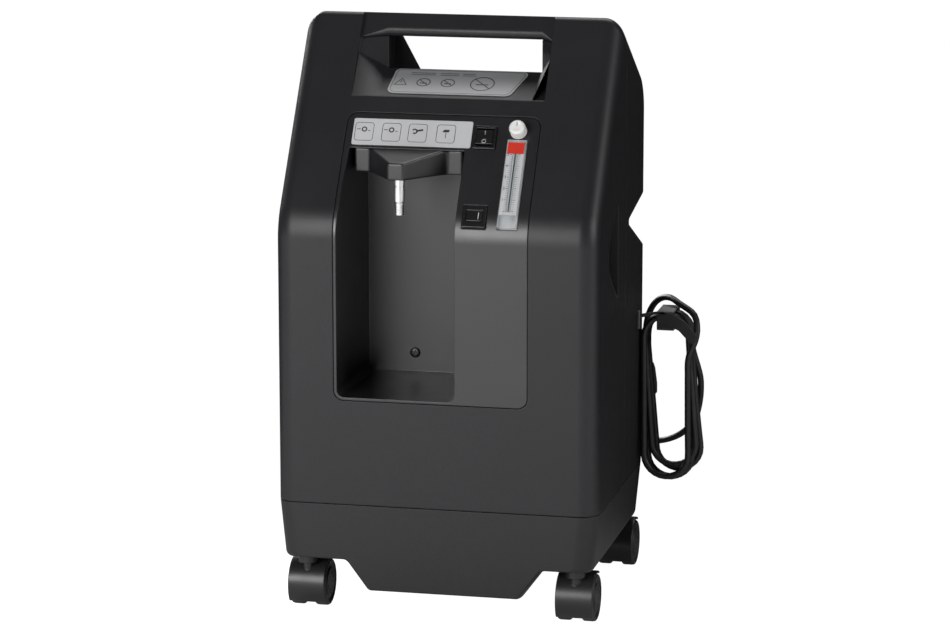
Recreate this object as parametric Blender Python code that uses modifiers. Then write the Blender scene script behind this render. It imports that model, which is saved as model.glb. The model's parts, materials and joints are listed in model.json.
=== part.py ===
"""Five-litre home oxygen concentrator: cabinet shells, control panel with a humidifier nook, swivel
casters, a mains lead hung in a coil, and the air and oxygen circuit inside. Metres, +Z up. The origin is
on the floor under the middle of the cabinet, the front faces -Y and +X is to the right seen from the front.
"""

import math

import bmesh
import bpy
from mathutils import Matrix, Vector

# ---- Driving sizes -------------------------------------------------------------------------------------
BODY_WIDTH = 0.342
BODY_DEPTH = 0.304
BODY_HEIGHT = 0.622
BASE_SEAM_Z = 0.122          # where the cabinet shells meet the base pan
SHELL_SEAM_Y = 0.005         # where the front shell meets the rear shell
BREAK_Z = BODY_HEIGHT - 0.202  # the front is upright below this height and leans back above it
LEAN = math.radians(34.0)    # lean of the upper front, from the vertical
ROOF_FALL = math.radians(30.0)
FRONT_RADIUS = 0.021         # rounding of the front and top edges
REAR_RADIUS = 0.048
BREAK_RADIUS = 0.060
RIDGE_RADIUS = 0.009
SHOULDER_RADIUS = 0.042
WALL = 0.003
GAP = 0.0003                 # between pieces that touch
SEAM_GAP = 0.0008            # between the shells, and between the shells and the base pan

# ---- Handle --------------------------------------------------------------------------------------------
PANEL_CENTRE_X = -0.005
POCKET_WIDTH = 0.206
LEDGE_FRONT_Z = BREAK_Z + 0.121
LEDGE_REAR = (-0.020, BREAK_Z + 0.145)  # y and z of the ledge's inner end
OPENING_X = (-0.080, 0.085)   # ends of the hand opening
GRIP_UNDER_Z = BREAK_Z + 0.178
GRIP_RECESS = 0.005
CHANNEL_FALL = math.radians(13.0)

# ---- Side grips ----------------------------------------------------------------------------------------
SCOOP_Z = (0.330, 0.430)
SCOOP_DEPTH = 0.012
SCOOP_Y = (-0.092, -0.038)
NOTCH_WIDTH = 0.046
NOTCH_TIP = (0.012, 0.4035)
NOTCH_ROOF_RISE = math.radians(10.0)
NOTCH_FLOOR_FALL = math.radians(22.5)

# ---- Control panel and nook ----------------------------------------------------------------------------
PANEL_WIDTH = 0.206
PANEL_Z = (0.233, BREAK_Z + 0.1055)
PANEL_CORNER = 0.011
PANEL_CLEARANCE = 0.0006
NOOK_X = (-0.1045, 0.021)
NOOK_Z = (0.2365, BREAK_Z + 0.0715)
NOOK_BACK_Y = -0.037
NOOK_DRAFT = 0.006
NOOK_FLOOR_RISE = 0.006
SWITCH_X, SWITCH_Z, SWITCH_SIZE = 0.0405, BREAK_Z + 0.085, (0.024, 0.026)
ROCKER_SWING = math.radians(14.0)
BREAKER_X, BREAKER_Z, BREAKER_SIZE = 0.0405, BREAK_Z + 0.011, (0.025, 0.025)
METER_X, METER_Z, METER_SIZE, METER_DEPTH = 0.0755, BREAK_Z + 0.042, (0.0205, 0.099), 0.014
METER_BORE = 0.0038
FLOAT_RADIUS = 0.0032
FLOAT_TRAVEL = 0.070
KNOB_RADIUS, KNOB_LENGTH = 0.0087, 0.013
OVERLAY_X, OVERLAY_Z = (-0.100, 0.0265), (BREAK_Z + 0.0745, BREAK_Z + 0.0995)
OUTLET_X, OUTLET_Y = -0.0415, -0.131
NOSE_REACH = 0.017           # from the outlet forward to the bracket's nose
NOSE_FALL = 0.179            # drop of the nose's top for each metre forward
NOSE_FALL_Y = -0.105         # where the top begins to fall
OUTLET_DROP = 0.026          # depth of the outlet bracket under the nook's roof

# ---- Base and casters ----------------------------------------------------------------------------------
BASE_LOW_Z = 0.060
BELLY_Z = 0.028
BELLY_X = (-0.073, 0.089)
BELLY_RUN = 0.024            # sideways run of the slanted belly ends
BASE_TAPER = 0.006
CASTER_X = BODY_WIDTH / 2 - 0.027
CASTER_Y = (-0.124, 0.106)    # front and rear swivel axes
WHEEL_RADIUS = 0.025
WHEEL_WIDTH = 0.0135
CASTER_WIDTH = 0.040
CASTER_TRAIL = 0.017
AXLE_RADIUS = 0.003
HOOD_RADIUS = 0.0285
STEM_RADIUS = 0.0055

# ---- Rear, cord and insides ----------------------------------------------------------------------------
DOOR_SIZE = (0.120, 0.096)
DOOR_Z = 0.300               # bottom edge of the filter door
VENT_SLOTS, VENT_WIDTH, VENT_HEIGHT, VENT_PITCH, VENT_Z = 7, 0.110, 0.006, 0.012, 0.148
GLAND_X, GLAND_Z = 0.098, 0.150
CORD_DIAMETER = 0.007
COIL_X, COIL_Y, COIL_Z = BODY_WIDTH / 2 + 0.0335, 0.105, (0.128, 0.260)
COIL_TURN_RADIUS = 0.0285
COIL_TURNS = 5

FRONT_Y, REAR_Y = -BODY_DEPTH / 2, BODY_DEPTH / 2
HALF_WIDTH = BODY_WIDTH / 2
# The leaning front and the roof meet a little above the top of the rounded ridge.
RIDGE_DOWN = (
    Vector((-math.sin(LEAN), -math.cos(LEAN))), Vector((math.cos(ROOF_FALL), -math.sin(ROOF_FALL))),
)
RIDGE_HALF_ANGLE = RIDGE_DOWN[0].angle(RIDGE_DOWN[1]) / 2
RIDGE_CENTRE = (RIDGE_DOWN[0] + RIDGE_DOWN[1]).normalized() * RIDGE_RADIUS / math.sin(RIDGE_HALF_ANGLE)
RIDGE_Z = BODY_HEIGHT - RIDGE_RADIUS - RIDGE_CENTRE.y
RIDGE_Y = FRONT_Y + (RIDGE_Z - BREAK_Z) * math.tan(LEAN)

MATERIALS = {
    "shell_black": ((0.020, 0.021, 0.023), 0.42, 0.0),
    "panel_black": ((0.014, 0.014, 0.016), 0.38, 0.0),
    "base_black": ((0.017, 0.018, 0.020), 0.50, 0.0),
    "caster_black": ((0.016, 0.016, 0.018), 0.45, 0.0),
    "wheel_black": ((0.012, 0.012, 0.013), 0.60, 0.0),
    "overlay_grey": ((0.55, 0.57, 0.58), 0.45, 0.0),
    "label_grey": ((0.42, 0.43, 0.43), 0.50, 0.0),
    "switch_black": ((0.010, 0.010, 0.010), 0.30, 0.0),
    "knob_white": ((0.80, 0.80, 0.78), 0.35, 0.0),
    "clear_acrylic": ((0.75, 0.80, 0.82), 0.08, 0.0),
    "float_ball": ((0.10, 0.10, 0.11), 0.20, 0.0),
    "bright_metal": ((0.72, 0.72, 0.70), 0.22, 1.0),
    "dark_screw": ((0.05, 0.05, 0.05), 0.35, 1.0),
    "cord_black": ((0.012, 0.012, 0.013), 0.50, 0.0),
    "strap_black": ((0.018, 0.018, 0.019), 0.90, 0.0),
    "foam_grey": ((0.08, 0.08, 0.08), 0.95, 0.0),
    "cast_aluminium": ((0.55, 0.56, 0.57), 0.45, 1.0),
    "rubber_black": ((0.020, 0.020, 0.020), 0.80, 0.0),
    "sieve_white": ((0.78, 0.78, 0.76), 0.40, 0.0),
    "board_green": ((0.03, 0.16, 0.07), 0.45, 0.0),
    "plastic_grey": ((0.30, 0.31, 0.32), 0.50, 0.0),
    "steel_plate": ((0.60, 0.61, 0.62), 0.35, 1.0),
}


# ---- Scene helpers -------------------------------------------------------------------------------------
def clear_scene():
    for item in list(bpy.data.objects):
        bpy.data.objects.remove(item, do_unlink=True)
    for group in list(bpy.data.collections):
        bpy.data.collections.remove(group)


def new_collection(name):
    group = bpy.data.collections.new(name)
    bpy.context.scene.collection.children.link(group)
    return group


def material(slot):
    found = bpy.data.materials.get(slot)
    if found:
        return found
    colour, roughness, metallic = MATERIALS[slot]
    made = bpy.data.materials.new(slot)
    made.use_nodes = True
    shader = made.node_tree.nodes["Principled BSDF"]
    shader.inputs["Base Color"].default_value = (*colour, 1.0)
    shader.inputs["Roughness"].default_value = roughness
    shader.inputs["Metallic"].default_value = metallic
    return made


def add(name, bm, slot=None, place=Matrix()):
    """A mesh object from a bmesh: a part when it has a material slot, else a cutter."""
    mesh = bpy.data.meshes.new(name)
    bmesh.ops.recalc_face_normals(bm, faces=bm.faces[:])
    bm.to_mesh(mesh)
    bm.free()
    return add_mesh(name, mesh, slot, place)


def add_mesh(name, mesh, slot=None, place=Matrix()):
    item = bpy.data.objects.new(name, mesh)
    item.matrix_world = place
    if slot:
        mesh.materials.append(material(slot))
        PARTS.objects.link(item)
    else:
        item.hide_render = True
        item.display_type = "WIRE"
        CUTTERS.objects.link(item)
    return item


def boolean(target, other, operation="DIFFERENCE"):
    step = target.modifiers.new(f"{operation} {other.name}", "BOOLEAN")
    step.operation = operation
    step.object = other
    step.solver = "EXACT"


def smooth(item, angle=35.0):
    item.data.shade_smooth()
    item.data.set_sharp_from_angle(angle=math.radians(angle))


def bevel(item, width, segments=2, angle=40.0):
    step = item.modifiers.new("rounded edges", "BEVEL")
    step.width = width
    step.segments = segments
    step.limit_method = "ANGLE"
    step.angle_limit = math.radians(angle)


# ---- Shape helpers -------------------------------------------------------------------------------------
def box(name, low, high, slot=None, place=Matrix(), rounding=0.0):
    bm = bmesh.new()
    bmesh.ops.create_cube(bm, size=1.0)
    size = [b - a for a, b in zip(low, high)]
    bmesh.ops.scale(bm, vec=size, verts=bm.verts)
    bmesh.ops.translate(bm, vec=[(a + b) / 2 for a, b in zip(low, high)], verts=bm.verts)
    item = add(name, bm, slot, place)
    if rounding:
        bevel(item, rounding)
    return item


def along(axis):
    """The turn that brings +Z onto an axis."""
    return Vector((0, 0, 1)).rotation_difference(Vector(axis)).to_matrix().to_4x4()


def cylinder(name, centre, axis, radius, length, slot=None, segments=24, end_radius=None):
    bm = bmesh.new()
    top = radius if end_radius is None else end_radius
    bmesh.ops.create_cone(bm, cap_ends=True, segments=segments, radius1=radius, radius2=top, depth=length)
    item = add(name, bm, slot, Matrix.Translation(centre) @ along(axis))
    if slot:
        smooth(item)
    return item


def turned(name, profile, centre, axis, slot, steps=24):
    """A turned piece: the profile is radius and height pairs, run down its outer side."""
    bm = bmesh.new()
    points = [bm.verts.new((radius, 0, height)) for radius, height in profile]
    for first, second in zip(points, points[1:]):
        bm.edges.new((first, second))
    mesh = bpy.data.meshes.new(name)
    bm.to_mesh(mesh)
    bm.free()
    item = add_mesh(name, mesh, slot, Matrix.Translation(centre) @ along(axis))
    screw = item.modifiers.new("turned", "SCREW")
    screw.steps = steps
    screw.render_steps = steps
    screw.use_merge_vertices = True
    screw.merge_threshold = 0.00001
    screw.use_smooth_shade = False
    return item


def offset_outline(corners, distances):
    """Moves each side of an outline outwards by its own distance; side i starts at corner i."""
    count = len(corners)
    area = sum(
        corners[i][0] * corners[(i + 1) % count][1] - corners[(i + 1) % count][0] * corners[i][1]
        for i in range(count)
    )
    turn = 1.0 if area > 0 else -1.0
    lines = []
    for i in range(count):
        start, end = Vector(corners[i]), Vector(corners[(i + 1) % count])
        run = (end - start).normalized()
        lines.append((start + Vector((run.y, -run.x)) * turn * distances[i], run))
    moved = []
    for i in range(count):
        (first, first_run), (second, second_run) = lines[i - 1], lines[i]
        share = (second - first).cross(second_run) / first_run.cross(second_run)
        moved.append(first + first_run * share)
    return moved


def round_outline(corners, radii, steps):
    """Replaces each corner of an outline by an arc of its radius."""
    count = len(corners)
    points = []
    for i, corner in enumerate(corners):
        if radii[i] <= 0:
            points.append(Vector(corner))
            continue
        before = (Vector(corners[i - 1]) - Vector(corner)).normalized()
        after = (Vector(corners[(i + 1) % count]) - Vector(corner)).normalized()
        half = before.angle(after) / 2
        centre = Vector(corner) + (before + after).normalized() * radii[i] / math.sin(half)
        first = Vector(corner) + before * radii[i] / math.tan(half) - centre
        sweep = first.angle_signed(Vector(corner) + after * radii[i] / math.tan(half) - centre)
        for step in range(steps[i] + 1):
            turn = -sweep * step / steps[i]
            cosine, sine = math.cos(turn), math.sin(turn)
            points.append(centre + Vector((first.x * cosine - first.y * sine, first.x * sine + first.y * cosine)))
    return points


def rounded_box_outline(width, height, radius, steps=4, centre=(0.0, 0.0)):
    x, y = width / 2, height / 2
    corners = [(-x, -y), (x, -y), (x, y), (-x, y)]
    moved = [(a + centre[0], b + centre[1]) for a, b in corners]
    return round_outline(moved, [radius] * 4, [steps] * 4)


def loft(name, sections, slot=None, place=Matrix()):
    """A closed body through sections that have the same number of points."""
    bm = bmesh.new()
    rows = [[bm.verts.new(point) for point in section] for section in sections]
    count = len(rows[0])
    for first, second in zip(rows, rows[1:]):
        for i in range(count):
            j = (i + 1) % count
            bm.faces.new((first[i], first[j], second[j], second[i]))
    bm.faces.new(rows[0])
    bm.faces.new(reversed(rows[-1]))
    return add(name, bm, slot, place)


def prism(name, outline, axis, low, high, slot=None, place=Matrix()):
    """An outline pushed along X, Y or Z; its two numbers are the other two axes in order."""
    spread = {
        "X": lambda u, v, w: (w, u, v),
        "Y": lambda u, v, w: (u, w, v),
        "Z": lambda u, v, w: (u, v, w),
    }[axis]
    return loft(name, [[spread(u, v, w) for u, v in outline] for w in (low, high)], slot, place)


def tube_mesh(name, points, radius, slot, resolution=3):
    """A cord or pipe as a polyline with a round bevel."""
    curve = bpy.data.curves.new(name, "CURVE")
    curve.dimensions = "3D"
    curve.bevel_depth = radius
    curve.bevel_resolution = resolution
    curve.use_fill_caps = True
    spline = curve.splines.new("POLY")
    spline.points.add(len(points) - 1)
    for knot, point in zip(spline.points, points):
        knot.co = (*point, 1.0)
    curve.materials.append(material(slot))
    item = bpy.data.objects.new(name, curve)
    PARTS.objects.link(item)
    return item


def smooth_route(points, spacing):
    """Points at an even spacing on the smooth curve through a route's own points."""
    route = [Vector(point) for point in points]
    padded = [route[0] * 2 - route[1], *route, route[-1] * 2 - route[-2]]
    fine = []
    for before, start, end, after in zip(padded, padded[1:], padded[2:], padded[3:]):
        for step in range(20):
            t = step / 20
            fine.append(
                0.5 * (2 * start + (end - before) * t
                       + (2 * before - 5 * start + 4 * end - after) * t ** 2
                       + (3 * start - before - 3 * end + after) * t ** 3)
            )
    fine.append(route[-1])
    total = sum((b - a).length for a, b in zip(fine, fine[1:]))
    pieces = max(2, round(total / spacing))
    even, run, wanted = [fine[0]], 0.0, 1
    for a, b in zip(fine, fine[1:]):
        step = (b - a).length
        while wanted < pieces and run + step >= total * wanted / pieces:
            even.append(a.lerp(b, (total * wanted / pieces - run) / step))
            wanted += 1
        run += step
    even.append(fine[-1])
    return even


# ---- Cabinet outlines ----------------------------------------------------------------------------------
def roof_z(y):
    return RIDGE_Z - (y - RIDGE_Y) * math.tan(ROOF_FALL)


def slope_y(z):
    """Front surface of the leaning panel at a height."""
    return FRONT_Y + (z - BREAK_Z) * math.tan(LEAN)


def slope_place(x, z, sink=0.0):
    """A frame on the leaning front: X to the right, Z up the slope, -Y out of it."""
    point = Vector((x, slope_y(z) + sink * math.cos(LEAN), z - sink * math.sin(LEAN)))
    return Matrix.Translation(point) @ Matrix.Rotation(-LEAN, 4, "X")


def width_stations(half, radii, steps):
    """Places across the cabinet where its sections are taken."""
    found = set()
    for radius in radii:
        for step in range(steps + 1):
            found.add(round(half - radius + radius * math.sin(math.pi / 2 * step / steps), 6))
    places = sorted(found)
    return [-place for place in reversed(places)] + places


def cabinet_body(name, corners, radii, edges, inset, open_sides, slot=None, steps=4):
    """One half of the cabinet, or its hollow, as sections of a side outline across the width.

    Corners are y and z pairs. Edges gives each side's rounding at the cabinet's flanks; an open side
    has none and, on a hollow, runs out past the edge of the shell.
    """
    half = HALF_WIDTH - inset
    shrunk = [max(edge - inset, 0.0) for edge in edges]
    used = sorted({round(edge, 6) for edge in shrunk if edge > 0})
    sections = []
    for x in width_stations(half, used, steps):
        distances = []
        for i, edge in enumerate(shrunk):
            if i in open_sides:
                distances.append(0.006 if inset else 0.0)
                continue
            over = abs(x) - (half - edge)
            drop = edge - math.sqrt(max(edge ** 2 - over ** 2, 0.0)) if over > 0 else 0.0
            distances.append(-inset - drop)
        moved = offset_outline(corners, distances)
        smaller = [max(radius - inset, 0.001) if radius else 0.0 for radius in radii]
        counts = [5 if radius > 0.02 else 3 for radius in radii]
        sections.append([(x, y, z) for y, z in round_outline(moved, smaller, counts)])
    return loft(name, sections, slot)


def front_outline():
    seam = SHELL_SEAM_Y - SEAM_GAP / 2
    low = BASE_SEAM_Z + SEAM_GAP / 2
    corners = [(FRONT_Y, low), (seam, low), (seam, roof_z(seam)), (RIDGE_Y, RIDGE_Z), (FRONT_Y, BREAK_Z)]
    radii = [0.0, 0.0, 0.0, RIDGE_RADIUS, BREAK_RADIUS]
    edges = [0.0, 0.0, FRONT_RADIUS, FRONT_RADIUS, FRONT_RADIUS]
    return corners, radii, edges, {0, 1}


def rear_outline():
    seam = SHELL_SEAM_Y + SEAM_GAP / 2
    low = BASE_SEAM_Z + SEAM_GAP / 2
    corners = [(seam, low), (REAR_Y, low), (REAR_Y, roof_z(REAR_Y)), (seam, roof_z(seam))]
    radii = [0.0, 0.0, SHOULDER_RADIUS, 0.0]
    edges = [0.0, REAR_RADIUS, FRONT_RADIUS, 0.0]
    return corners, radii, edges, {0, 3}


# ---- Cutters that shape the shells ---------------------------------------------------------------------
def pocket_cutter(name, grow):
    """The hollow in front of and under the carrying handle, or the same grown by a wall."""
    reach = 0.060
    ledge_front = (slope_y(LEDGE_FRONT_Z), LEDGE_FRONT_Z)
    run = (Vector(LEDGE_REAR) - Vector(ledge_front)).normalized()
    outside = Vector(ledge_front) - run * reach
    recess = GRIP_RECESS / math.cos(LEAN)
    under = (slope_y(GRIP_UNDER_Z) + recess, GRIP_UNDER_Z)
    above = (slope_y(BODY_HEIGHT + 0.03) + recess, BODY_HEIGHT + 0.03)
    rear = LEDGE_REAR[0] + 0.002
    full = [
        tuple(outside), LEDGE_REAR, (rear, LEDGE_REAR[1]), (rear, GRIP_UNDER_Z), under, above,
        (above[0] - reach, above[1]),
    ]
    # At its ends the hollow is only as deep as the recess in front of the grip.
    shallow_z = LEDGE_FRONT_Z + 0.040
    shallow = (slope_y(shallow_z) + recess, shallow_z)
    thin = [
        tuple(outside), shallow, (shallow[0] + 0.0012, shallow[1] + 0.002), (under[0] - 0.0013, under[1] - 0.002),
        under, above, (above[0] - reach, above[1]),
    ]
    half = POCKET_WIDTH / 2
    rows = []
    for x, outline, side in (
        (PANEL_CENTRE_X - half, thin, -1), (OPENING_X[0], full, -1), (OPENING_X[1], full, 1),
        (PANEL_CENTRE_X + half, thin, 1),
    ):
        moved = offset_outline(outline, [grow] * len(outline)) if grow else [Vector(p) for p in outline]
        rows.append([(x + side * grow, y, z) for y, z in moved])
    return loft(name, rows)


def channel_cutter(name, grow):
    """The hand opening under the grip, which runs out over the roof at the back."""
    y, z = LEDGE_REAR
    start = y - 0.004
    far = REAR_Y + 0.030
    roof_meets = RIDGE_Y + (RIDGE_Z - GRIP_UNDER_Z) / math.tan(ROOF_FALL)
    outline = [
        (start, z + 0.0004), (far, z - (far - start) * math.tan(CHANNEL_FALL)), (far, BODY_HEIGHT + 0.05),
        (roof_meets, BODY_HEIGHT + 0.05), (roof_meets, GRIP_UNDER_Z), (start, GRIP_UNDER_Z),
    ]
    moved = offset_outline(outline, [grow] * len(outline)) if grow else outline
    return prism(name, moved, "X", OPENING_X[0] - grow, OPENING_X[1] + grow)


def notch_cutter(name, side, grow):
    """The wedge at a rear corner that the palm goes into when the cabinet is lifted."""
    y, z = NOTCH_TIP
    far = REAR_Y + 0.040
    outline = [
        (y, z), (far, z - (far - y) * math.tan(NOTCH_FLOOR_FALL)), (far, z + (far - y) * math.tan(NOTCH_ROOF_RISE)),
    ]
    moved = offset_outline(outline, [grow] * 3) if grow else [Vector(p) for p in outline]
    rounded = round_outline(moved, [0.004 + grow, 0.0, 0.0], [4, 0, 0])
    inner = HALF_WIDTH - NOTCH_WIDTH - grow
    low, high = sorted((side * inner, side * (HALF_WIDTH + 0.02)))
    return prism(name, rounded, "X", low, high)


def scoop_cutter(name, side, grow):
    """The finger scoop in a flank of the front shell: part of a large cylinder that ends in a flat wall."""
    chord = SCOOP_Z[1] - SCOOP_Z[0]
    radius = (chord ** 2 / 4 + SCOOP_DEPTH ** 2) / (2 * SCOOP_DEPTH)
    run = SCOOP_Y[1] - SCOOP_Y[0]
    middle = sum(SCOOP_Z) / 2
    reach = math.asin(chord / 2 / radius) * 1.25
    rows = []
    for share in (-0.35, 1.0):
        y = SCOOP_Y[0] + run * share
        if share == 1.0:
            y += grow
        centre_x = HALF_WIDTH + radius - SCOOP_DEPTH * share
        arc = [
            (
                side * (centre_x - (radius + grow) * math.cos(turn)), y,
                middle + (radius + grow) * math.sin(turn),
            )
            for turn in (reach * (k / 6 - 1) for k in range(13))
        ]
        outer = side * (HALF_WIDTH + 0.04)
        rows.append([(outer, y, arc[0][2]), *arc, (outer, y, arc[-1][2])])
    return loft(name, rows)


def build_shells():
    """The front and rear cabinet shells with their handle, grips, scoops and vents."""
    corners, radii, edges, open_sides = front_outline()
    front = cabinet_body("front_shell", corners, radii, edges, 0.0, open_sides, "shell_black")
    front_hollow = cabinet_body("front_hollow", corners, radii, edges, WALL, open_sides)
    corners, radii, edges, open_sides = rear_outline()
    rear = cabinet_body("rear_shell", corners, radii, edges, 0.0, open_sides, "shell_black")
    rear_hollow = cabinet_body("rear_hollow", corners, radii, edges, WALL, open_sides)

    for maker, label in ((pocket_cutter, "pocket"), (channel_cutter, "channel")):
        grown, plain = maker(f"{label}_grown", WALL), maker(f"{label}_cut", 0.0)
        boolean(front_hollow, grown)
        if maker is channel_cutter:
            boolean(rear_hollow, grown)
            boolean(rear, plain)
        boolean(front, plain)
    for side, label in ((-1, "left"), (1, "right")):
        boolean(front_hollow, scoop_cutter(f"scoop_grown_{label}", side, WALL))
        boolean(front, scoop_cutter(f"scoop_cut_{label}", side, 0.0))
        boolean(rear_hollow, notch_cutter(f"notch_grown_{label}", side, WALL))
        boolean(rear, notch_cutter(f"notch_cut_{label}", side, 0.0))
    boolean(front, front_hollow)
    boolean(rear, rear_hollow)

    opening = rounded_box_outline(
        PANEL_WIDTH, PANEL_Z[1] - PANEL_Z[0], PANEL_CORNER, 4, (PANEL_CENTRE_X, sum(PANEL_Z) / 2)
    )
    boolean(front, prism("panel_opening", opening, "Y", FRONT_Y - 0.02, slope_y(PANEL_Z[1]) + 0.02))
    door = [(-DOOR_SIZE[0] / 2, DOOR_Z), (DOOR_SIZE[0] / 2, DOOR_Z), (DOOR_SIZE[0] / 2, DOOR_Z + DOOR_SIZE[1]),
            (-DOOR_SIZE[0] / 2, DOOR_Z + DOOR_SIZE[1])]
    boolean(rear, prism("door_opening", door, "Y", REAR_Y - 0.02, REAR_Y + 0.02))
    for i in range(VENT_SLOTS):
        z = VENT_Z + VENT_PITCH * i
        boolean(rear, box(f"vent_{i}", (-VENT_WIDTH / 2, REAR_Y - 0.02, z),
                          (VENT_WIDTH / 2, REAR_Y + 0.02, z + VENT_HEIGHT)))
    boolean(rear, cylinder("gland_hole", (GLAND_X, REAR_Y, GLAND_Z), (0, 1, 0), 0.008, 0.03, segments=20))
    for item in (front, rear):
        smooth(item)


# ---- Control panel -------------------------------------------------------------------------------------
def panel_outline(sink, low, high, back):
    """Side outline of the panel: the cabinet's own front, sunk a little, and a flat back."""
    if low > BREAK_Z:
        corners = [(back, low), (back, high), (slope_y(high), high), (slope_y(low), low)]
        return offset_outline(corners, [0.0, 0.0, -sink, 0.0])
    corners = [(back, low), (back, high), (slope_y(high), high), (FRONT_Y, BREAK_Z), (FRONT_Y, low)]
    moved = offset_outline(corners, [0.0, 0.0, -sink, -sink, 0.0])
    return round_outline(moved, [0.0, 0.0, 0.0, BREAK_RADIUS - sink, 0.0], [0, 0, 0, 6, 0])


def nook_cutter():
    """The humidifier nook: its walls close in a little towards the back and its floor rises."""
    front_y = FRONT_Y - 0.02
    middle = (NOOK_X[0] + NOOK_X[1]) / 2
    rows = []
    for y, draft, rise in ((front_y, -0.001, -0.001), (NOOK_BACK_Y, NOOK_DRAFT, NOOK_FLOOR_RISE)):
        width = NOOK_X[1] - NOOK_X[0] - draft
        low, high = NOOK_Z[0] + rise, NOOK_Z[1]
        left, right = middle + draft / 2 - width / 2, middle + draft / 2 + width / 2
        corners = [(left, low), (right, low), (right, high), (left, high)]
        outline = round_outline(corners, [0.008, 0.008, 0.002, 0.002], [3] * 4)
        rows.append([(x, y, z) for x, z in outline])
    return loft("nook_cut", rows)


def build_panel():
    """The moulding that fills the front opening: humidifier nook on the left, control column on the right."""
    sink = 0.0005
    half = PANEL_WIDTH / 2 - PANEL_CLEARANCE
    low, high = PANEL_Z[0] + PANEL_CLEARANCE, PANEL_Z[1] - PANEL_CLEARANCE
    back = NOOK_BACK_Y + WALL
    left, right = PANEL_CENTRE_X - half, PANEL_CENTRE_X + half
    panel = prism("control_panel", panel_outline(sink, low, high, back), "X", left, right, "panel_black")
    frame = rounded_box_outline(
        2 * half, high - low, PANEL_CORNER - PANEL_CLEARANCE, 4, (PANEL_CENTRE_X, (low + high) / 2)
    )
    boolean(panel, prism("panel_trim", frame, "Y", FRONT_Y - 0.03, back + 0.03), "INTERSECT")
    boolean(panel, nook_cutter())
    inside = panel_outline(sink + WALL, low + WALL, high - WALL, back + 0.02)
    boolean(panel, prism("column_hollow", inside, "X", NOOK_X[1] + WALL, right - WALL))
    over_nook = panel_outline(sink + WALL, NOOK_Z[1] + WALL, high - WALL, back + 0.02)
    boolean(panel, prism("head_hollow", over_nook, "X", left + WALL, NOOK_X[1] + 2 * WALL))
    for name, x, z, size in (
        ("switch_hole", SWITCH_X, SWITCH_Z, SWITCH_SIZE), ("breaker_hole", BREAKER_X, BREAKER_Z, BREAKER_SIZE),
        ("meter_hole", METER_X, METER_Z, METER_SIZE),
    ):
        width, height = size[0] / 2 + GAP, size[1] / 2 + GAP
        boolean(panel, box(name, (-width, -0.02, -height), (width, 0.02, height), None, slope_place(x, z)))
    knob_z = METER_Z + (METER_SIZE[1] / 2 + KNOB_RADIUS + 0.0012) * math.cos(LEAN)
    place = slope_place(METER_X, knob_z)
    boolean(panel, cylinder("knob_hole", place.translation, place.to_3x3() @ Vector((0, -1, 0)), 0.0036, 0.03,
                            segments=16))
    boolean(panel, cylinder("nook_screw_hole", (-0.048, NOOK_BACK_Y, 0.263), (0, 1, 0), 0.0022, 0.02, segments=16))
    smooth(panel)

    build_outlet()
    build_overlays()
    build_switches()
    build_flow_meter(place)
    head = [(0.0020, 0.0012), (0.0048, 0.0012), (0.0055, 0.0004), (0.0055, -0.0007), (0.0019, -0.0007),
            (0.0019, -0.0085), (0.0, -0.0085)]
    turned("nook_screw", [(0.0, 0.0006), *head], (-0.048, NOOK_BACK_Y - 0.0010, 0.263), (0, -1, 0), "dark_screw", 20)


def build_outlet():
    """The bracket in the roof of the nook and the metal outlet that hangs from its nose."""
    low, high = NOOK_Z[1] - OUTLET_DROP, NOOK_Z[1] - GAP
    left, right = NOOK_X[0] + NOOK_DRAFT + 0.001, NOOK_X[1] - 0.0025
    nose_y = OUTLET_Y - NOSE_REACH
    shoulder_y = -0.099
    outline = [
        (left, -0.050), (right, -0.050), (right, shoulder_y), (right - 0.017, shoulder_y),
        (OUTLET_X + 0.008, nose_y), (OUTLET_X - 0.008, nose_y), (left + 0.017, shoulder_y), (left, shoulder_y),
    ]
    housing = prism("outlet_housing", outline, "Z", low, high, "panel_black")
    tip_y = nose_y - 0.010
    above = [
        (NOSE_FALL_Y, high), (NOSE_FALL_Y, high + 0.004), (tip_y, high + 0.004),
        (tip_y, high - NOSE_FALL * (NOSE_FALL_Y - tip_y)),
    ]
    boolean(housing, prism("nose_top", above, "X", left - 0.010, right + 0.010))
    bevel(housing, 0.0025, 2, 50)
    boolean(housing, cylinder("outlet_hole", (OUTLET_X, OUTLET_Y, low), (0, 0, 1), 0.0042 + GAP, 0.020, segments=20))
    smooth(housing)
    profile = [
        (0.0030, 0.0080), (0.0042, 0.0080), (0.0042, -0.0003), (0.0056, -0.0003), (0.0056, -0.0240),
        (0.0048, -0.0255), (0.0048, -0.0370), (0.0042, -0.0380), (0.0030, -0.0380), (0.0030, 0.0080),
    ]
    turned("outlet_fitting", profile, (OUTLET_X, OUTLET_Y, low), (0, 0, 1), "bright_metal", 20)


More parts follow.
